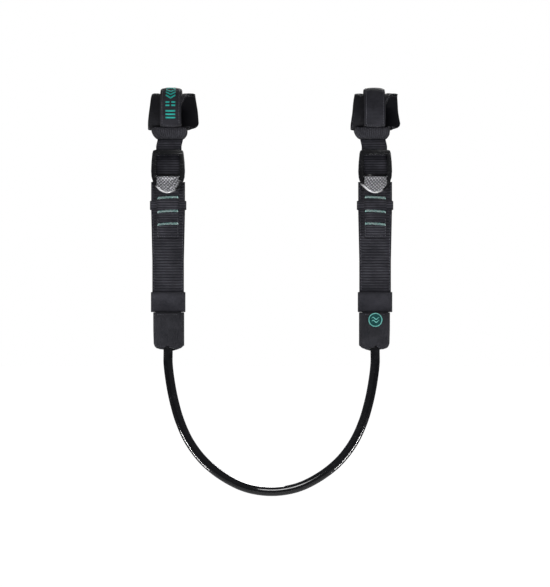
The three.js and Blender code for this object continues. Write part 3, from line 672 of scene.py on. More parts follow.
def thread_finish(name, dark, light):
    """Twisted sewing thread"""
    tree, shader = material_with_shader(name, Sheen_Weight=0.3, Sheen_Roughness=0.4, Roughness=0.55)
    position = add(tree, "ShaderNodeTexCoord").outputs["Object"]
    twist = add(tree, "ShaderNodeTexWave", {"Vector": position, "Scale": 900.0, "Distortion": 2.0},
                wave_type="BANDS", bands_direction="DIAGONAL")
    lint = use(tree, "Lint", Position=position, Drift_Scale=500.0)
    drift = maths(tree, "ADD", lint.outputs["Drift"], 0.25)
    shade = maths(tree, "MULTIPLY", twist.outputs["Fac"], drift, clamp=True)
    tree.links.new(mixed(tree, shade, rgba(dark), rgba(light)), shader.inputs["Base Color"])
    bump = add(tree, "ShaderNodeBump", {"Height": twist.outputs["Fac"], "Distance": 0.00008, "Strength": 0.8})
    tree.links.new(bump.outputs[0], shader.inputs["Normal"])


class HARNESS_OT_finishes(bpy.types.Operator):
    """Make the weave, lint and scuff groups and every material"""
    bl_idname = "harness.finishes"
    bl_label = "Finishes"

    def execute(self, context):
        cloths = context.scene.harness_fabric
        buckle = context.scene.harness_buckle
        ribbed_weave_group()
        plain_weave_group()
        lint_group()
        scuff_group()
        black, faded = cloths.black, cloths.faded
        narrow = {"Rib_Pitch": cloths.rib_pitch, "Yarn_Pitch": cloths.yarn_pitch}
        wide = {"Rib_Pitch": cloths.wide_rib_pitch, "Yarn_Pitch": cloths.yarn_pitch}
        fine = {"Pitch": cloths.cloth_pitch}
        fabric("Black webbing", black, faded, "Ribbed weave", narrow, 0.0005, 1.0)
        fabric("Flap webbing", black, faded, "Ribbed weave", {"Rib_Pitch": 0.0013, "Yarn_Pitch": 0.0010},
               0.0003, 0.55)
        fabric("Wide webbing", black, faded, "Ribbed weave", wide, 0.0007, 0.85)
        fabric("Strap backing", black, faded, "Plain weave", {"Pitch": 0.0007}, 0.00014, 0.3)
        fabric("Cuff cloth", [c * 0.5 for c in black], faded, "Plain weave", fine, 0.0002, 0.12, sheen=0.03,
               frayed=0.5)
        fabric("Grip lining", (0.004, 0.004, 0.006), (0.03, 0.03, 0.035), "Plain weave", {"Pitch": 0.0012},
               0.0002, 0.15, rough=0.9, sheen=0.0, frayed=0.6)
        fabric("Sleeve cloth", (0.010, 0.010, 0.013), (0.08, 0.08, 0.095), "Plain weave", fine, 0.00016, 0.5)
        fabric("Elastic band", black, faded, "Ribbed weave", {"Rib_Pitch": 0.0009, "Yarn_Pitch": 0.0011},
               0.0002, 0.9, rough=0.75)
        fabric("Gathered webbing", black, faded, "Ribbed weave", {"Rib_Pitch": 0.0022, "Yarn_Pitch": 0.0012},
               0.0006, 0.75, turned=True)
        fabric("Loop pile", (0.02, 0.02, 0.026), (0.12, 0.12, 0.14), "Plain weave", {"Pitch": 0.0004}, 0.0004,
               0.5, rough=0.95, sheen=0.5, frayed=0.6)
        fabric("Hook tape", (0.010, 0.010, 0.012), (0.06, 0.06, 0.07), "Plain weave", {"Pitch": 0.0011},
               0.0005, 0.4, rough=0.6)
        fabric("Whipping tape", (0.012, 0.012, 0.014), (0.06, 0.06, 0.07), "Ribbed weave",
               {"Rib_Pitch": 0.0009, "Yarn_Pitch": 0.002}, 0.0003, 0.4, from_position=True)
        fabric("Rope braid", (0.40, 0.40, 0.37), (0.78, 0.78, 0.74), "Plain weave", {"Pitch": 0.0012}, 0.0004,
               0.7, from_position=True)
        prints = (
            ("Teal print", [c * 0.75 for c in cloths.teal], cloths.teal),
            ("Badge ground", (0.004, 0.045, 0.045), (0.01, 0.11, 0.105)),
            ("Badge mark", [c * 0.8 + 0.08 for c in cloths.teal], cloths.aqua),
        )
        for name, dark, light in prints:
            fabric(name, dark, light, "Plain weave", fine, 0.00008, 0.9, rough=0.6, sheen=0.0, frayed=0.0)
        thread_finish("Teal thread", [c * 0.7 + 0.14 for c in cloths.teal],
                      [c * 0.4 + 0.6 for c in cloths.aqua])
        thread_finish("Black thread", [c * 3 for c in black], [c * 2.2 for c in faded])
        # the glossy frame and lever, with a painted highlight on their lower front edges
        moulded("Moulded black", buckle.moulded, 0.2, 0.3, 0.5, edge_highlight=1.0)
        moulded("Black tube", context.scene.harness_line.black, 0.09, 0.28, 0.8, depth=0.00002)
        moulded("Steel", (0.55, 0.56, 0.58), 0.28, 0.25, 0.0, metallic=1.0)
        engraved_silver("Silver pad", buckle.silver)
        return {"FINISHED"}


class HARNESS_OT_stage(bpy.types.Operator):
    """Set the camera, the pale floor and the studio lights"""
    bl_idname = "harness.stage"
    bl_label = "Stage"

    def execute(self, context):
        stage = context.scene.harness_stage
        scene = context.scene
        scene.view_settings.view_transform = "Standard"
        camera = bpy.data.objects.new("Camera", bpy.data.cameras.new("Camera"))
        scene.collection.objects.link(camera)
        camera.data.lens = stage.lens
        camera.data.sensor_width = 36
        camera.data.clip_end = 50
        camera.location = (stage.across, -stage.distance, stage.height)
        camera.rotation_euler = (math.radians(90), 0, 0)
        scene.camera = camera
        self.floor(scene, stage.floor)
        middle = Vector((0, 0, -0.2))
        self.light("Key", (-0.25, -1.6, 1.0), middle, (0.9, 0.7), stage.key)
        self.light("Left strip", (-0.85, -0.25, -0.95), middle, (0.05, 0.5), stage.strip)
        self.light("Right strip", (0.85, -0.25, -0.95), middle, (0.05, 0.5), stage.strip)
        self.light("Low front", (0.1, -1.5, -1.15), middle, (0.6, 0.4), stage.strip, glossy=False)
        self.light("Fill", (0.2, -1.9, -0.5), middle, (1.2, 1.0), stage.key * 0.7, glossy=False)
        self.light("Back", (0.3, 1.6, 0.8), middle, (1.0, 0.8), stage.key * 1.8)
        self.light("Back fill", (-0.8, 1.5, -0.6), middle, (1.2, 1.0), stage.key, glossy=False)
        world = bpy.data.worlds.new("Studio")
        scene.world = world
        world.use_nodes = True
        tree = world.node_tree
        seen = tree.nodes["Background"]
        seen.inputs["Color"].default_value = (1, 1, 1, 1)
        seen.inputs["Strength"].default_value = 1.0
        lit = add(tree, "ShaderNodeBackground", {"Color": (0.92, 0.95, 1, 1), "Strength": 0.1})
        path = add(tree, "ShaderNodeLightPath")
        blend = add(tree, "ShaderNodeMixShader", {0: path.outputs["Is Camera Ray"], 1: lit.outputs[0],
                                                  2: seen.outputs[0]})
        tree.links.new(blend.outputs[0], tree.nodes["World Output"].inputs["Surface"])
        return {"FINISHED"}

    def floor(self, scene, height):
        mesh = bpy.data.meshes.new("Floor")
        bm = bmesh.new()
        rings = [[bm.verts.new((r * math.cos(a), r * math.sin(a), height))
                  for a in (math.tau * k / 64 for k in range(64))] for r in (1.0, 6.0, 30.0)]
        bm.faces.new(rings[0])
        for inner, outer in zip(rings, rings[1:]):
            for k in range(64):
                bm.faces.new((inner[k], outer[k], outer[(k + 1) % 64], inner[(k + 1) % 64]))
        bm.to_mesh(mesh)
        bm.free()
        floor = bpy.data.objects.new("Floor", mesh)
        scene.collection.objects.link(floor)
        tree, shader = material_with_shader("Pale floor", Roughness=0.9, Specular_IOR_Level=0.1)
        seen = add(tree, "ShaderNodeLightPath").outputs["Is Camera Ray"]
        tree.links.new(seen, shader.inputs["Emission Strength"])
        position = add(tree, "ShaderNodeTexCoord").outputs["Object"]
        grain = add(tree, "ShaderNodeTexNoise", {"Vector": position, "Scale": 3.0, "Detail": 2.0})
        tone = mixed(tree, grain.outputs["Fac"], (0.36, 0.36, 0.36, 1), (0.40, 0.40, 0.40, 1))
        tree.links.new(tone, shader.inputs["Base Color"])
        shader.inputs["Emission Color"].default_value = (1, 1, 1, 1)
        mesh.materials.append(bpy.data.materials["Pale floor"])

    def light(self, name, place, target, size, power, glossy=True):
        data = bpy.data.lights.new(name, "AREA")
        data.shape = "RECTANGLE"
        data.size, data.size_y = size
        data.energy = power
        lamp = bpy.data.objects.new(name, data)
        bpy.context.scene.collection.objects.link(lamp)
        lamp.visible_camera = False
        lamp.visible_glossy = glossy
        lamp.location = place
        lamp.rotation_euler = (target - Vector(place)).to_track_quat("-Z", "Y").to_euler()


# ------------------------------------------------------------------ the line
def smooth_route():
    """Points of the tube's centre line, in mm, from inside the left sleeve to inside the right one"""
    right = [Vector((x, LINE_DEPTH, z)) for x, z in LINE_ROUTE]
    left = [Vector((-p.x, p.y, p.z)) for p in right[:-1]]
    half = LINE_ROUTE[0][0]
    ends = [Vector((-half, LINE_DEPTH, TUBE_TOP)), Vector((half, LINE_DEPTH, TUBE_TOP))]
    knots = [ends[0], *left, *reversed(right), ends[1]]
    out = []
    for k in range(len(knots) - 1):
        p0 = knots[k - 1] if k else knots[0] * 2 - knots[1]
        p1, p2 = knots[k], knots[k + 1]
        p3 = knots[k + 2] if k + 2 < len(knots) else knots[-1] * 2 - knots[-2]
        t01, t12, t23 = ((b - a).length ** 0.5 for a, b in ((p0, p1), (p1, p2), (p2, p3)))
        m1 = p2 - p1 + ((p1 - p0) / t01 - (p2 - p0) / (t01 + t12)) * t12
        m2 = p2 - p1 + ((p3 - p2) / t23 - (p3 - p1) / (t12 + t23)) * t12
        for i in range(8):
            t = i / 8
            out.append(p1 * (2 * t ** 3 - 3 * t ** 2 + 1) + m1 * (t ** 3 - 2 * t ** 2 + t)
                       + p2 * (3 * t ** 2 - 2 * t ** 3) + m2 * (t ** 3 - t ** 2))
    out.append(knots[-1])
    return out


class HARNESS_OT_line(bpy.types.Operator):
    """Lay the plastic tube along its route and finish the rope and its whippings"""
    bl_idname = "harness.line"
    bl_label = "Line"

    def execute(self, context):
        line = context.scene.harness_line
        curve = bpy.data.curves.new("line_tube_skin", "CURVE")
        curve.dimensions = "3D"
        curve.bevel_depth = line.diameter / 2
        curve.bevel_resolution = 8
        curve.use_fill_caps = True
        points = smooth_route()
        spline = curve.splines.new("POLY")
        spline.points.add(len(points) - 1)
        for spot, place in zip(spline.points, points):
            spot.co = (*(place * MM), 1.0)
        spline.use_smooth = True
        tube = bpy.data.objects.new("line_tube_skin", curve)
        put(tube, "line", "Black tube", "black_tube", "line_tube")
        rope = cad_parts["core_rope"]
        rope.material_slots[0].material = bpy.data.materials["Rope braid"]
        for side in SIDES:
            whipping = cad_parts[f"{side}_rope_whipping"]
            whipping.material_slots[0].material = bpy.data.materials["Whipping tape"]
        return {"FINISHED"}


# ------------------------------------------------------------------ cuffs
def cuff_ends(side):
    """The cuff's left and right ends at a height, and the slanted end of its front layer"""
    low, high = cad(f"{side}_cuff_panel")
    x0 = neck_centre(side)
    top = high.z
    reach_left, reach_right = low.x - x0, high.x - x0 + 1.8
    left = ((-top, reach_left), (top, reach_left + 4))
    right = ((-top, reach_right - 9), (1.5 - top, reach_right - 7.5), (3.2 - top, reach_right - 2.5),
             (5 - top, reach_right - 0.6), (7.5 - top, reach_right), (top, reach_right - 3.4))
    front = ((-top, 11.3), (0.2 * top, 11.3), (0.75 * top, 16), (top, 19))
    return left, right, front


def cuff_layer(side, radius, thickness, bulge, wrinkle, inset):
    """One layer of the cuff: a ring about the boom whose front stops short on the right"""
    left, right, front = cuff_ends(side)
    x0 = neck_centre(side)

    def middle(u, v):
        degrees = 360 * u
        y, z = on_cuff(radius, degrees)
        x_left = along(left, z) + inset
        share = ease((math.sin(math.radians(degrees)) - 0.22) / 0.1)
        x_right = along(right, z) * (1 - share) + along(front, z) * share - inset
        x = x_left + (x_right - x_left) * v
        free = ease((abs(x - CLOSURE_SHIFT) - 10.5) / 3) * ease(min(x - x_left, x_right - x) / 3)
        fold = noise.noise(Vector((x * 0.16 + 9 * SIDES[side], degrees * 0.03, 2.0)))
        fine = noise.noise(Vector((x * 0.5, degrees * 0.09, 7.0 + SIDES[side])))
        out = radius + free * (bulge + wrinkle * (fold * 1.4 + fine * 0.6))
        y, z = on_cuff(out, degrees)
        sway = 0.5 * noise.noise(Vector((degrees * 0.02, 3.0, side == "left"))) * (2 * v - 1)
        return x0 + x + sway * (abs(2 * v - 1) > 0.9), y, z

    def half(u, v):
        return thickness / 2 * rolled(min(v, 1 - v) * 40, 0.8) + 1e-3

    columns = [k / 144 for k in range(145)]
    rows = [0, 0.006, 0.02, *[0.02 + 0.96 * k / 26 for k in range(1, 26)], 0.98, 0.994, 1]
    points, faces, lays, rims = cloth(columns, rows, middle, half, closed=True)
    # these values become the rim attribute, which gives the cuff pale fluff and also the painted shade that
    # dims its weave tops
    frayed = []
    for p, rim in zip(points, rims):
        front = p[1] < -0.2 * radius
        worn = front and p[0] > x0 + 10.5 and p[2] > 1
        frayed.append(0.8 if worn else rim if front and p[0] > x0 + 5 else 0.0)
    return points, faces, lays, frayed


def cuff_seams(side, settings, fabric_settings):
    """Rows of stitches near the cuff's two ends"""
    left, right, front = cuff_ends(side)
    x0 = neck_centre(side)
    _, high = cad(f"{side}_cuff_panel")
    inset = settings.seam_inset / MM
    radius = high.z + 0.12
    shells = []
    for at_left in (True, False):
        for start, end in ((14, 166), (194, 346)):
            points = []
            for degrees in range(start, end + 1, 4):
                y, z = on_cuff(radius, degrees)
                front_side = degrees < 180
                edge = along(left, z) + inset if at_left else along(front if front_side else right, z) - inset
                points.append(Vector((x0 + edge, y, z)))
            shells += stitch_row(points, from_boom, fabric_settings.stitch_pitch / MM,
                                 fabric_settings.thread_thickness / MM)
    return shells


def strap_route():
    """The narrow strap: up from the neck, round the cuff and down to the neck again"""
    ends = ((-0.9, -26.4), (2.5, -26.4))
    turns = []
    for y, z in ends:
        lean = math.degrees(math.atan2(abs(y), -z))
        reach = math.degrees(math.acos(STRAP_RADIUS / math.hypot(y, z)))
        turns.append(180 - lean - reach)
    return [ends[0], *arc(STRAP_RADIUS, turns[0], -turns[1]), ends[1]]


def collar(side, settings):
    """The gathered wrap under the cuff; its rim is hollowed to sit under the round cuff"""
    x0 = neck_centre(side)
    lefts = ((-16, -18.6), (-20, -18.2), (-23, -16.9), (-25.5, -14.9), (-27.2, -12.4))
    rights = ((-16, 16.6), (-20, 16.5), (-23.1, 16.0), (-25.6, 14.2), (-27.2, 12.6))
    half_depth, mid_y, hollow = 14.4, 0.8, 18.3
    depths = ((-16, half_depth), (-27.2, 4.5))
    pitch, pleat = settings.pleat_pitch / MM, settings.pleat / MM

    def middle(u, v):
        angle = math.tau * u
        cos, sin = math.cos(angle), math.sin(angle)
        fx = math.copysign(abs(cos) ** (2 / 4.5), cos)
        fy = math.copysign(abs(sin) ** (2 / 4.5), sin)
        rim_y = mid_y + half_depth * fy
        rim = -math.sqrt(hollow ** 2 - rim_y ** 2) - 1.0 if abs(rim_y) < 18 else -16
        z = min(-16.1, rim) * (1 - v) - 27.1 * v
        left, right, depth = along(lefts, z), along(rights, z), along(depths, z)
        x = (left + right) / 2 + (right - left) / 2 * fx
        y = mid_y + depth * fy
        wander = 2.2 * noise.noise(Vector((x * 0.25, z * 0.12, y * 0.05 + SIDES[side])))
        strength = 0.55 + 0.9 * noise.noise(Vector((x * 0.5 + 5, z * 0.15, SIDES[side])))
        gather = (0.5 + 0.5 * math.cos(math.tau * x / pitch + wander)) * pleat * max(strength, 0.15)
        return x0 + x, y - gather * fy * 0.9, z

    def half(u, v):
        return 0.55 * rolled(min(v, 1 - v) * 9, 0.7) + 1e-3

    rows = [0, 0.02, 0.06, *[0.06 + 0.88 * k / 10 for k in range(1, 10)], 0.94, 0.98, 1]
    return cloth([k / 200 for k in range(201)], rows, middle, half, closed=True)


def flap_face(across):
    """Radius of the flap's outer face at a distance from its centre line"""
    return FLAP_RADIUS + NARROW_THICKNESS / 2 + crowned(2 * across / FLAP_WIDTH, FLAP_CROWN)


def mark(centre, across, arc_length, slant, place, thickness=0.3):
    """A printed bar on the left flap: its middle and size across, where it starts, its length, its slant"""
    def middle(u, v):
        a = centre + (u - 0.5) * across
        s = place + v * arc_length + slant * (u - 0.5) * across
        y, z = on_cuff(flap_face(a) + 0.1, math.degrees(s / PRINT_RADIUS))
        return neck_centre("left") + CLOSURE_SHIFT + a, y, z

    places = [k / 6 for k in range(7)]
    return cloth(places, places[::3], middle, lambda u, v: thickness / 2)


def flap_print():
    """Bars, chevrons and dashes down the left flap, each placed by its distance from the top"""
    bar = ((0, PRINT_WIDTH, 1.6, 0),)
    chevron = tuple((sign * 2.45, 4.8, 2.1, -sign * 0.75) for sign in (-1, 1))
    dashes = tuple((sign * 2.9, 3.8, 1.6, 0) for sign in (-1, 1))
    rows = ((bar, (4.5, 7.7)), (chevron, (12.6, 17.0, 21.4)), (dashes, (28.0, 31.2)),
            (bar, (36.6, 39.8, 43.0)))
    return [mark(*shape, place) for shapes, places in rows for place in places for shape in shapes]


class HARNESS_OT_cuffs(bpy.types.Operator):
    """Build the padded boom cuffs and the gathered collars under them"""
    bl_idname = "harness.cuffs"
    bl_label = "Boom cuffs"

    def execute(self, context):
        cuff, cloths = context.scene.harness_cuff, context.scene.harness_fabric
        for side in SIDES:
            body = f"{side}_cuff"
            bulge, wrinkle = cuff.bulge / MM, cuff.wrinkle / MM
            panel = write_mesh(f"{side}_cuff_cover", [
                cuff_layer(side, PANEL_RADIUS, 1.1, bulge, wrinkle, 0.1)])
            put(panel, body, "Cuff cloth", "cuff_fabric", f"{side}_cuff_panel")
            lining = write_mesh(f"{side}_cuff_grip", [cuff_layer(side, LINING_RADIUS, 1.2, 0.0, 0.0, 0.5)])
            put(lining, body, "Grip lining", "grip_lining", f"{side}_cuff_lining")
            seams = write_mesh(f"{side}_cuff_seams", cuff_seams(side, cuff, cloths))
            put(seams, body, "Black thread", "cuff_fabric")
            gathers = write_mesh(f"{side}_collar_gathers", [collar(side, cuff)])
            put(gathers, body, "Gathered webbing", "black_webbing", f"{side}_neck_collar")
        return {"FINISHED"}


class HARNESS_OT_closures(bpy.types.Operator):
    """Build the narrow straps, their hook-and-loop patches, the flaps and the printed marks"""
    bl_idname = "harness.closures"
    bl_label = "Straps and closures"

    def execute(self, context):
        cloths = context.scene.harness_fabric
        pitch, thread = cloths.stitch_pitch / MM, cloths.thread_thickness / MM
        for side in SIDES:
            cuff, flap_body = f"{side}_cuff", f"{side}_flap"
            x = neck_centre(side) + CLOSURE_SHIFT
            strap = write_mesh(f"{side}_cuff_strap", [
                tape(strap_route(), NARROW_WIDTH, NARROW_THICKNESS, x, seed=1.3)])
            put(strap, cuff, "Black webbing", "black_webbing", f"{side}_boom_strap")
            loop = write_mesh(f"{side}_loop_pile", [
                tape(arc(LOOP_RADIUS, -8, 126), PATCH_WIDTH, 0.6, x, wave=0.02)])
            put(loop, cuff, "Loop pile", "loop_pile", f"{side}_loop_patch")
            hook = write_mesh(f"{side}_hook_tape", [
                tape(arc(HOOK_RADIUS, -4, 130), PATCH_WIDTH, 0.55, x, wave=0.02)])
            put(hook, flap_body, "Hook tape", "hook_tape", f"{side}_hook_patch")
            lap = [on_cuff(LAP_RADIUS + (FLAP_RADIUS - LAP_RADIUS) * ease((degrees + 42) / 24), degrees)
                   for degrees in range(-62, -18, 4)]
            flap = write_mesh(f"{side}_flap_tape", [
                tape([*lap, *arc(FLAP_RADIUS, -18, 133)], FLAP_WIDTH, NARROW_THICKNESS, x, seed=4.1,
                     crown=FLAP_CROWN)])
            put(flap, None, "Flap webbing", "black_webbing", f"{side}_closure_flap")
            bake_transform(flap)
            shells = []
            for across in (-8.4, 8.4):
                row = [Vector((x + across, *p)) for p in arc(flap_face(across) + 0.04, -15, 130)]
                shells += stitch_row(row, from_boom, pitch, thread)
            for degrees in (-15, 127, 130):
                row = []
                for k in range(21):
                    across = -8.2 + 0.82 * k
                    row.append(Vector((x + across, *on_cuff(flap_face(across) + 0.04, degrees))))
                shells += stitch_row(row, from_boom, pitch * 0.8, thread)
            seams = write_mesh(f"{side}_flap_seams", shells)
            put(seams, flap_body, "Black thread", "black_webbing")
        printed = write_mesh("left_flap_print", flap_print())
        put(printed, "left_flap", "Teal print", "teal_print", "left_flap_label")
        return {"FINISHED"}


class HARNESS_OT_adjusters(bpy.types.Operator):
    """Build the adjuster webbing that runs through each buckle, with its folded tail"""
    bl_idname = "harness.adjusters"
    bl_label = "Adjuster webbing"

    def execute(self, context):
        cloths = context.scene.harness_fabric
        pitch, thread = cloths.stitch_pitch / MM, cloths.thread_thickness / MM
        for side in SIDES:
            low, high = cad(f"{side}_tail_fold")
            hang = (low.x + high.x) / 2
            neck = neck_centre(side)

            def centre(z):
                return along(((-34, hang), (-27.2, neck)), z)

            webbing = tape([(0.8, -20), (0.8, -176.7)], ADJUSTER_WIDTH, 1.5, centre, wave=0.05, seed=2.2)
            strip = write_mesh(f"{side}_adjuster_tape", [webbing])
            put(strip, f"{side}_cuff", "Black webbing", "black_webbing", f"{side}_adjuster_webbing")
            turn = [(1.5 - 0.75 * math.cos(a), -188.2 - 0.75 * math.sin(a))
                    for a in (math.pi * k / 8 for k in range(9))]
            route = [(0.75, TAIL_TOP), *turn, (2.25, TAIL_TOP)]
            fold = write_mesh(f"{side}_tail_end", [tape(route, TAIL_WIDTH, 1.4, hang, step=0.5, wave=0.0)])
            put(fold, f"{side}_cuff", "Black webbing", "black_webbing", f"{side}_tail_fold")
            shells = []
            for z in (-180.5, -185.5):
                shells += stitch_row(across_row(hang, 11, 2.97, z), to_back, pitch, thread)
            seams = write_mesh(f"{side}_tail_seams", shells)
            put(seams, f"{side}_cuff", "Black thread", "black_webbing")
        return {"FINISHED"}


# ------------------------------------------------------------------ buckles
def pad_shell(side, crown):
    """The domed thumb pad, a shield with a raised rim"""
    low, high = cad(f"{side}_thumb_pad")
    x0 = (low.x + high.x) / 2
    half_outline = ((-65.2, 10.2), (-66.0, 10.9), (-72.7, 11.1), (-75.9, 9.0), (-78.5, 6.0), (-80.0, 2.6),
                    (-80.4, 0))
    right = [(x, z) for z, x in half_outline]
    top = [(x, -65.0) for x in (-9.4, -6, -3, 0, 3, 6, 9.4)]
    ring = [*top, *right, *[(-x, z) for x, z in reversed(right[:-1])]]
    spots = resampled([*ring, ring[0]], 0.7)
    middle_z = -71.0
    shell_rings = []
    shares = [1.0, 1.0, 0.985, 0.95, 0.91, 0.88, 0.84, *[0.84 - 0.07 * k for k in range(1, 12)]]
    depths = [0.0, 0.55, 0.85, 0.98, 0.94, 0.82, 0.78]
    depth_scale = high.y - low.y - crown
    for k, share in enumerate(shares):
        if k < len(depths):
            depth = depths[k] * depth_scale
        else:
            depth = 0.78 * depth_scale + (crown + 0.2 * depth_scale) * (1 - (share / 0.84) ** 2)
        shell_rings.append([(x0 + share * x, high.y - depth, middle_z + share * (z - middle_z))
                            for _, x, z in spots[:-1]])
    count = len(shell_rings[0])
    points = [p for ring_points in shell_rings for p in ring_points]
    faces = []
    for r in range(len(shell_rings) - 1):
        for i in range(count):
            j = (i + 1) % count
            faces.append((r * count + i, r * count + j, (r + 1) * count + j, (r + 1) * count + i))
    faces.append(tuple(range(count)))
    last = (len(shell_rings) - 1) * count
    faces.append(tuple(last + i for i in range(count)))
    lays = [(p[0], p[2]) for p in points]
    return points, faces, lays, [0.0] * len(points)


class HARNESS_OT_buckles(bpy.types.Operator):
    """Round the moulded buckle parts, dome the thumb pads and finish the steel parts"""
    bl_idname = "harness.buckles"
    bl_label = "Cam buckles"

    def execute(self, context):
        buckle = context.scene.harness_buckle
        for side in SIDES:
            shell = rounded_part(f"{side}_buckle_shell", f"{side}_buckle_frame", buckle.edge_round)
            put(shell, "line", "Moulded black", "moulded_black", f"{side}_buckle_frame")
            lever = rounded_part(f"{side}_lever_plate", f"{side}_cam_lever", buckle.edge_round * 0.7)
            put(lever, f"{side}_lever", "Moulded black", "moulded_black", f"{side}_cam_lever")
            pad = write_mesh(f"{side}_pad_dome", [pad_shell(side, buckle.pad_crown / MM)])
            put(pad, f"{side}_lever", "Silver pad", "silver_pad", f"{side}_thumb_pad")
            for node in ("cam_pin", "cam_spring", "anchor_bar"):
                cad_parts[f"{side}_{node}"].material_slots[0].material = bpy.data.materials["Steel"]
        return {"FINISHED"}


# ------------------------------------------------------------------ straps
def keeper_rise(z):
    """How far the anchor webbing rises to pass over the upper keeper"""
    over = max(z - KEEPER_TOP, KEEPER_FOOT - z, 0)
    return min(max(1 - over / 1.2, 0), 1)


def anchor_route():
    heights = [-81.1, -85, -87.4, KEEPER_TOP, -93.5, KEEPER_FOOT, -99.6, -105, -112, -126]
    front = [(-5.1 - keeper_rise(z), z) for z in heights]
    back = [(-3.8 - keeper_rise(z), z) for z in heights]
    turn = [(-5.65 + 1.85 * math.cos(a), -73.1 + 1.85 * math.sin(a))
            for a in (math.pi * k / 8 for k in range(9))]
    return [*reversed(back), *turn, *front]


def zigzag(side, place, thickness):
    """A bartack: one thread sewn to and fro in a shallow arch"""
    low, high = cad(f"{side}_bartack_{place}")
    centre = (low.x + high.x) / 2
    middle_z = (low.z + high.z) / 2
    y = (low.y + high.y) / 2
    sides, turns = 6, 15
    span = high.x - low.x - 0.6
    tilt = -SIDES[side] * 0.55
    path = []
    for k in range(turns * 2 + 1):
        share = k / (turns * 2)
        swing = 1.0 if k % 2 else -1.0
        arch = 0.5 * (1 - (2 * share - 1) ** 2)
        z = middle_z + swing + arch + tilt * (2 * share - 1)
        path.append(Vector((centre + (share - 0.5) * span, y, z)))
    points, faces, lays = [], [], []
    for k, here in enumerate(path):
        ahead = (path[min(k + 1, len(path) - 1)] - path[max(k - 1, 0)]).normalized()
        flat = ahead.cross(Vector((0, -1, 0))).normalized()
        for q in range(sides):
            angle = math.tau * q / sides
            offset = flat * math.cos(angle) * 1.15 + Vector((0, -1, 0)) * math.sin(angle) * 0.8
            points.append(here + offset * thickness / 2)
            lays.append((q * 0.2, k * 0.4))
    for k in range(len(path) - 1):
        for q in range(sides):
            faces.append((k * sides + q, k * sides + (q + 1) % sides, (k + 1) * sides + (q + 1) % sides,
                          (k + 1) * sides + q))
    faces += [tuple(range(sides)), tuple((len(path) - 1) * sides + q for q in range(sides))]
    return points, faces, lays, [0.0] * len(points)


def wide_half(z):
    """Half the wide strap's width, which tapers below the buckle and narrows inside the sleeve"""
    return along(((-70, 16.9), (-100, 16.9), (-149, 15.8), (-180, 15.8), (-197.4, 15.4), (-201.4, 11.9),
                  (-222, 11.9)), z)


def wide_width(z):
    """The wide strap's width at a height"""
    return 2 * wide_half(z)


class HARNESS_OT_straps(bpy.types.Operator):
    """Build the wide straps, the anchor webbing over them and its teal bartacks"""
    bl_idname = "harness.straps"
    bl_label = "Wide straps"

    def execute(self, context):
        cloths = context.scene.harness_fabric
        pitch, thread = cloths.stitch_pitch / MM, cloths.thread_thickness / MM
        for side in SIDES:
            x = strap_centre(side)
            for layer, node, y, foot, finish, slot, seed in STRAP_LAYERS:
                route = [(y, -70.1), (y, -198.4), (y, -199.4), (foot, -206), (foot, -221.8)]
                strap = write_mesh(f"{side}_strap_{layer}", [
                    tape(route, wide_width, WIDE_THICKNESS, x, wave=0.05, seed=seed)])
                put(strap, "line", finish, slot, f"{side}_{node}")
            anchor = write_mesh(f"{side}_anchor_tape", [
                tape(anchor_route(), 22.6, 0.95, x, step=1.0, wave=0.03)])
            put(anchor, "line", "Black webbing", "black_webbing", f"{side}_anchor_webbing")
            shells = []
            for sign in (-1, 1):
                for heights in (range(-88, -71, 4), range(-178, -99, 4)):
                    row = [Vector((x + sign * (wide_half(z) - 1.7), STRAP_FACE, z)) for z in heights]
                    shells += stitch_row(row, to_front, pitch, thread)
                row = [Vector((x + sign * 10.0, ANCHOR_FACE, z)) for z in range(-125, -101, 4)]
                shells += stitch_row(row, to_front, pitch, thread)
            shells += stitch_row(across_row(x, 10, ANCHOR_FACE, -124.2), to_front, pitch * 0.7, thread)
            seams = write_mesh(f"{side}_strap_seams", shells)
            put(seams, "line", "Black thread", "wide_webbing")
            for place in ("upper", "middle", "lower"):
                tack = write_mesh(f"{side}_{place}_zigzag", [zigzag(side, place, 0.75)])
                put(tack, "line", "Teal thread", "teal_thread", f"{side}_bartack_{place}")
        return {"FINISHED"}


# ------------------------------------------------------------------ keepers and sleeves
def rounded_ring(half_width, y0, y1, radius, count=120):
    """Points of a rounded rectangle in (x, y), starting at the middle of its back"""
    corners = ((half_width - radius, y1 - radius, 0), (half_width - radius, y0 + radius, -90),
               (radius - half_width, y0 + radius, -180), (radius - half_width, y1 - radius, -270))
    line = [(0.0, y1)]
    for cx, cy, start in corners:
        for k in range(9):
            angle = math.radians(90 + start - 90 * k / 8)
            line.append((cx + radius * math.cos(angle), cy + radius * math.sin(angle)))
    line.append((0.0, y1))
    return [(x, y) for _, x, y in resampled(line, (4 * half_width + 2 * (y1 - y0)) / count)]


def keeper_shell(node, wall, seed, longer=0.0):
    """A band round the strap; longer is how far it reaches below its CAD node"""
    low, high = cad(node)
    low.z -= longer
    x0 = (low.x + high.x) / 2
    ring = rounded_ring((high.x - low.x) / 2 - wall / 2, low.y + wall / 2, high.y - wall / 2, 1.9)
    tall = high.z - low.z

    def middle(u, v):
        x, y = ring[round(u * (len(ring) - 1))]
        ripple = 0.08 * noise.noise(Vector((x * 0.3, y * 0.2 + seed, v * 2)))
        return x0 + x, y + ripple, high.z - tall * v

    def half(u, v):
        return wall / 2 * rolled(min(v, 1 - v) * tall, 0.5) + 1e-3

    rows = [0, 0.01, 0.03, *[0.03 + 0.94 * k / 12 for k in range(1, 12)], 0.97, 0.99, 1]
    return cloth([k / (len(ring) - 1) for k in range(len(ring))], rows, middle, half, closed=True)


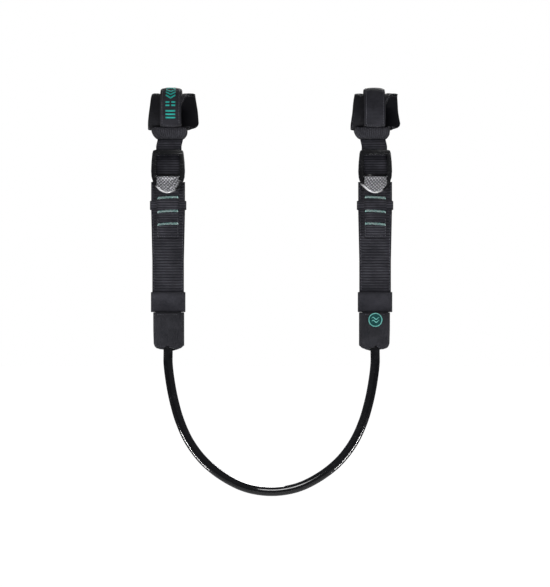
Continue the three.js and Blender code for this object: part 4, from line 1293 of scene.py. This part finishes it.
def sleeve_shell(side, wall):
    """The end pouch: a soft tube round the strap's foot, drawn in round the line at its lower end"""
    x0 = strap_centre(side)
    low, high = cad(f"{side}_end_sleeve")
    flip = 1 if side == "left" else -1
    outboard = ((-200.4, -14.9), (-218, -14.8), (-231.6, -14.4), (-236, -12.6))
    foot = ((-14.9, -233.3), (-13.2, -236.4), (-10, -237.6), (-5, -238.2), (3, -239.6), (8, -238.4),
            (13, -236.2), (16.1, -233.3))
    y_mid, deep = (low.y + high.y) / 2, (high.y - low.y) / 2 - wall / 2

    def foot_height(x, front):
        notch = 4.4 * ease((8.6 - abs(x)) / 4.4) if front else 0.0
        return along(foot, x) + notch + wall / 2

    def section(u):
        angle = math.tau * u
        cos, sin = math.cos(angle), math.sin(angle)
        return (math.copysign(abs(cos) ** 0.5, cos), math.copysign(abs(sin) ** 0.62, sin), cos, sin)

    def middle(u, v):
        fx, fy, cos, sin = section(u)
        hole_x, hole_y = 5.35 * cos, 5.35 * sin
        right = 16.1 - wall / 2
        x_ref = 0.6 + fx * 14.9
        z_foot = foot_height(x_ref, sin < 0)
        share = min(v / 0.8, 1)
        z = high.z + 0.1 + (z_foot - high.z - 0.1) * share
        left = along(outboard, z) + wall / 2
        x = (left + right) / 2 + (right - left) / 2 * fx
        y = y_mid + deep * fy
        crease = noise.noise(Vector((x * 0.18, z * 0.1, 3.0 * SIDES[side] + (sin > 0))))
        draw = ease((z + 222) / -16)
        soft = 1 - 0.10 * draw - 0.03 * (0.5 + 0.5 * crease)
        y = y_mid + (y - y_mid) * soft
        if v > 0.8:
            close = ease((v - 0.8) / 0.2)
            bow = math.sin(close * math.pi / 2)
            x += (hole_x - x) * bow
            y += (y_mid + hole_y - y) * bow
            z += (foot_height(hole_x, sin < 0) - z) * close + 0.5 * math.sin(close * math.pi)
        return x0 + flip * x, y, z

    def half(u, v):
        if v < 0.02:
            return wall / 2 * rolled(v, 0.02) + 1e-3
        if v > 0.985:
            return wall / 2 * rolled(1 - v, 0.015) * 0.8 + 1e-3
        return wall / 2

    rows = [0, 0.006, 0.02, *[0.02 + 0.78 * k / 24 for k in range(1, 25)],
            *[0.8 + 0.2 * k / 14 for k in range(1, 15)]]
    return cloth([k / 144 for k in range(145)], rows, middle, half, closed=True)


def ring_mark(x0, y, z, inner, outer, thickness):
    """A flat ring, or a disc when inner is 0"""
    def middle(u, v):
        angle = math.tau * u
        radius = inner + (outer - inner) * v
        return x0 + radius * math.cos(angle), y, z + radius * math.sin(angle)
    return cloth([k / 64 for k in range(65)], [0, 0.15, 0.85, 1], middle,
                 lambda u, v: thickness / 2 * (0.5 if v in (0, 1) else 1), closed=True)


def wave_mark(x0, y, z, lift, thickness):
    """A wavy stroke across the badge"""
    def middle(u, v):
        x = (u - 0.5) * 7.6
        swell = math.sin(u * math.tau * 1.25)
        taper = math.sin(math.pi * min(max(u, 0.04), 0.96)) ** 0.5
        return x0 + x, y, z + lift + swell + (v - 0.5) * 1.15 * taper
    return cloth([k / 28 for k in range(29)], [0, 0.5, 1], middle, lambda u, v: thickness / 2)


class HARNESS_OT_ends(bpy.types.Operator):
    """Build the keepers, the end sleeves with their seams, and the badge"""
    bl_idname = "harness.ends"
    bl_label = "Keepers and end sleeves"

    def execute(self, context):
        cloths = context.scene.harness_fabric
        pitch, thread = cloths.stitch_pitch / MM, cloths.thread_thickness / MM
        for side in SIDES:
            x = strap_centre(side)
            upper = write_mesh(f"{side}_upper_loop", [keeper_shell(f"{side}_upper_keeper", 0.7, 1.0)])
            put(upper, "line", "Black webbing", "black_webbing", f"{side}_upper_keeper")
            lower = write_mesh(f"{side}_elastic_loop", [keeper_shell(f"{side}_lower_keeper", 0.85, 5.0, 0.3)])
            put(lower, f"{side}_keeper", "Elastic band", "elastic_band", f"{side}_lower_keeper")
            sleeve = write_mesh(f"{side}_sleeve_pouch", [sleeve_shell(side, 1.3)])
            put(sleeve, "line", "Sleeve cloth", "sleeve_fabric", f"{side}_end_sleeve")
            front = cad(f"{side}_end_sleeve")[0].y
            row = across_row(x, 11, front + 0.35, -202.6)
            seams = write_mesh(f"{side}_sleeve_seams", stitch_row(row, to_front, pitch, thread))
            put(seams, "line", "Black thread", "sleeve_fabric")
        low, high = cad("right_sleeve_badge")
        x0, y, z = (low + high) / 2
        ground = write_mesh("right_badge_ground", [ring_mark(x0, y + 0.15, z, 0.0, 6.5, 0.3)])
        put(ground, "line", "Badge ground", "teal_print")
        shells = [ring_mark(x0, y, z, 6.1, 6.9, 0.55), wave_mark(x0, y - 0.1, z, 1.5, 0.4),
                  wave_mark(x0, y - 0.1, z, -1.4, 0.4)]
        badge = write_mesh("right_badge_mark", shells)
        put(badge, "line", "Badge mark", "teal_print", "right_sleeve_badge")
        return {"FINISHED"}


# ------------------------------------------------------------------ add-on
STEPS = (
    HARNESS_OT_finishes, HARNESS_OT_stage, HARNESS_OT_line, HARNESS_OT_cuffs, HARNESS_OT_closures,
    HARNESS_OT_adjusters, HARNESS_OT_buckles, HARNESS_OT_straps, HARNESS_OT_ends,
)
SETTINGS = {
    "harness_fabric": FabricSettings, "harness_cuff": CuffSettings, "harness_buckle": BuckleSettings,
    "harness_line": LineSettings, "harness_stage": StageSettings,
}


class HARNESS_PT_panel(bpy.types.Panel):
    """Lists the pieces of the harness line and their settings"""
    bl_label = "Harness line"
    bl_idname = "HARNESS_PT_panel"
    bl_space_type = "VIEW_3D"
    bl_region_type = "UI"
    bl_category = "Harness line"

    def draw(self, context):
        for step in STEPS:
            self.layout.operator(step.bl_idname)
        for name, kind in SETTINGS.items():
            box = self.layout.box()
            for key in kind.__annotations__:
                box.prop(getattr(context.scene, name), key)


def register():
    for kind in (*SETTINGS.values(), *STEPS, HARNESS_PT_panel):
        bpy.utils.register_class(kind)
    for name, kind in SETTINGS.items():
        setattr(bpy.types.Scene, name, PointerProperty(type=kind))


def unregister():
    for name in SETTINGS:
        delattr(bpy.types.Scene, name)
    for kind in (HARNESS_PT_panel, *reversed(STEPS), *reversed(tuple(SETTINGS.values()))):
        bpy.utils.unregister_class(kind)


def main():
    register()
    for step in STEPS:
        area, name = step.bl_idname.split(".")
        getattr(getattr(bpy.ops, area), name)()


if __name__ == "__main__":
    main()
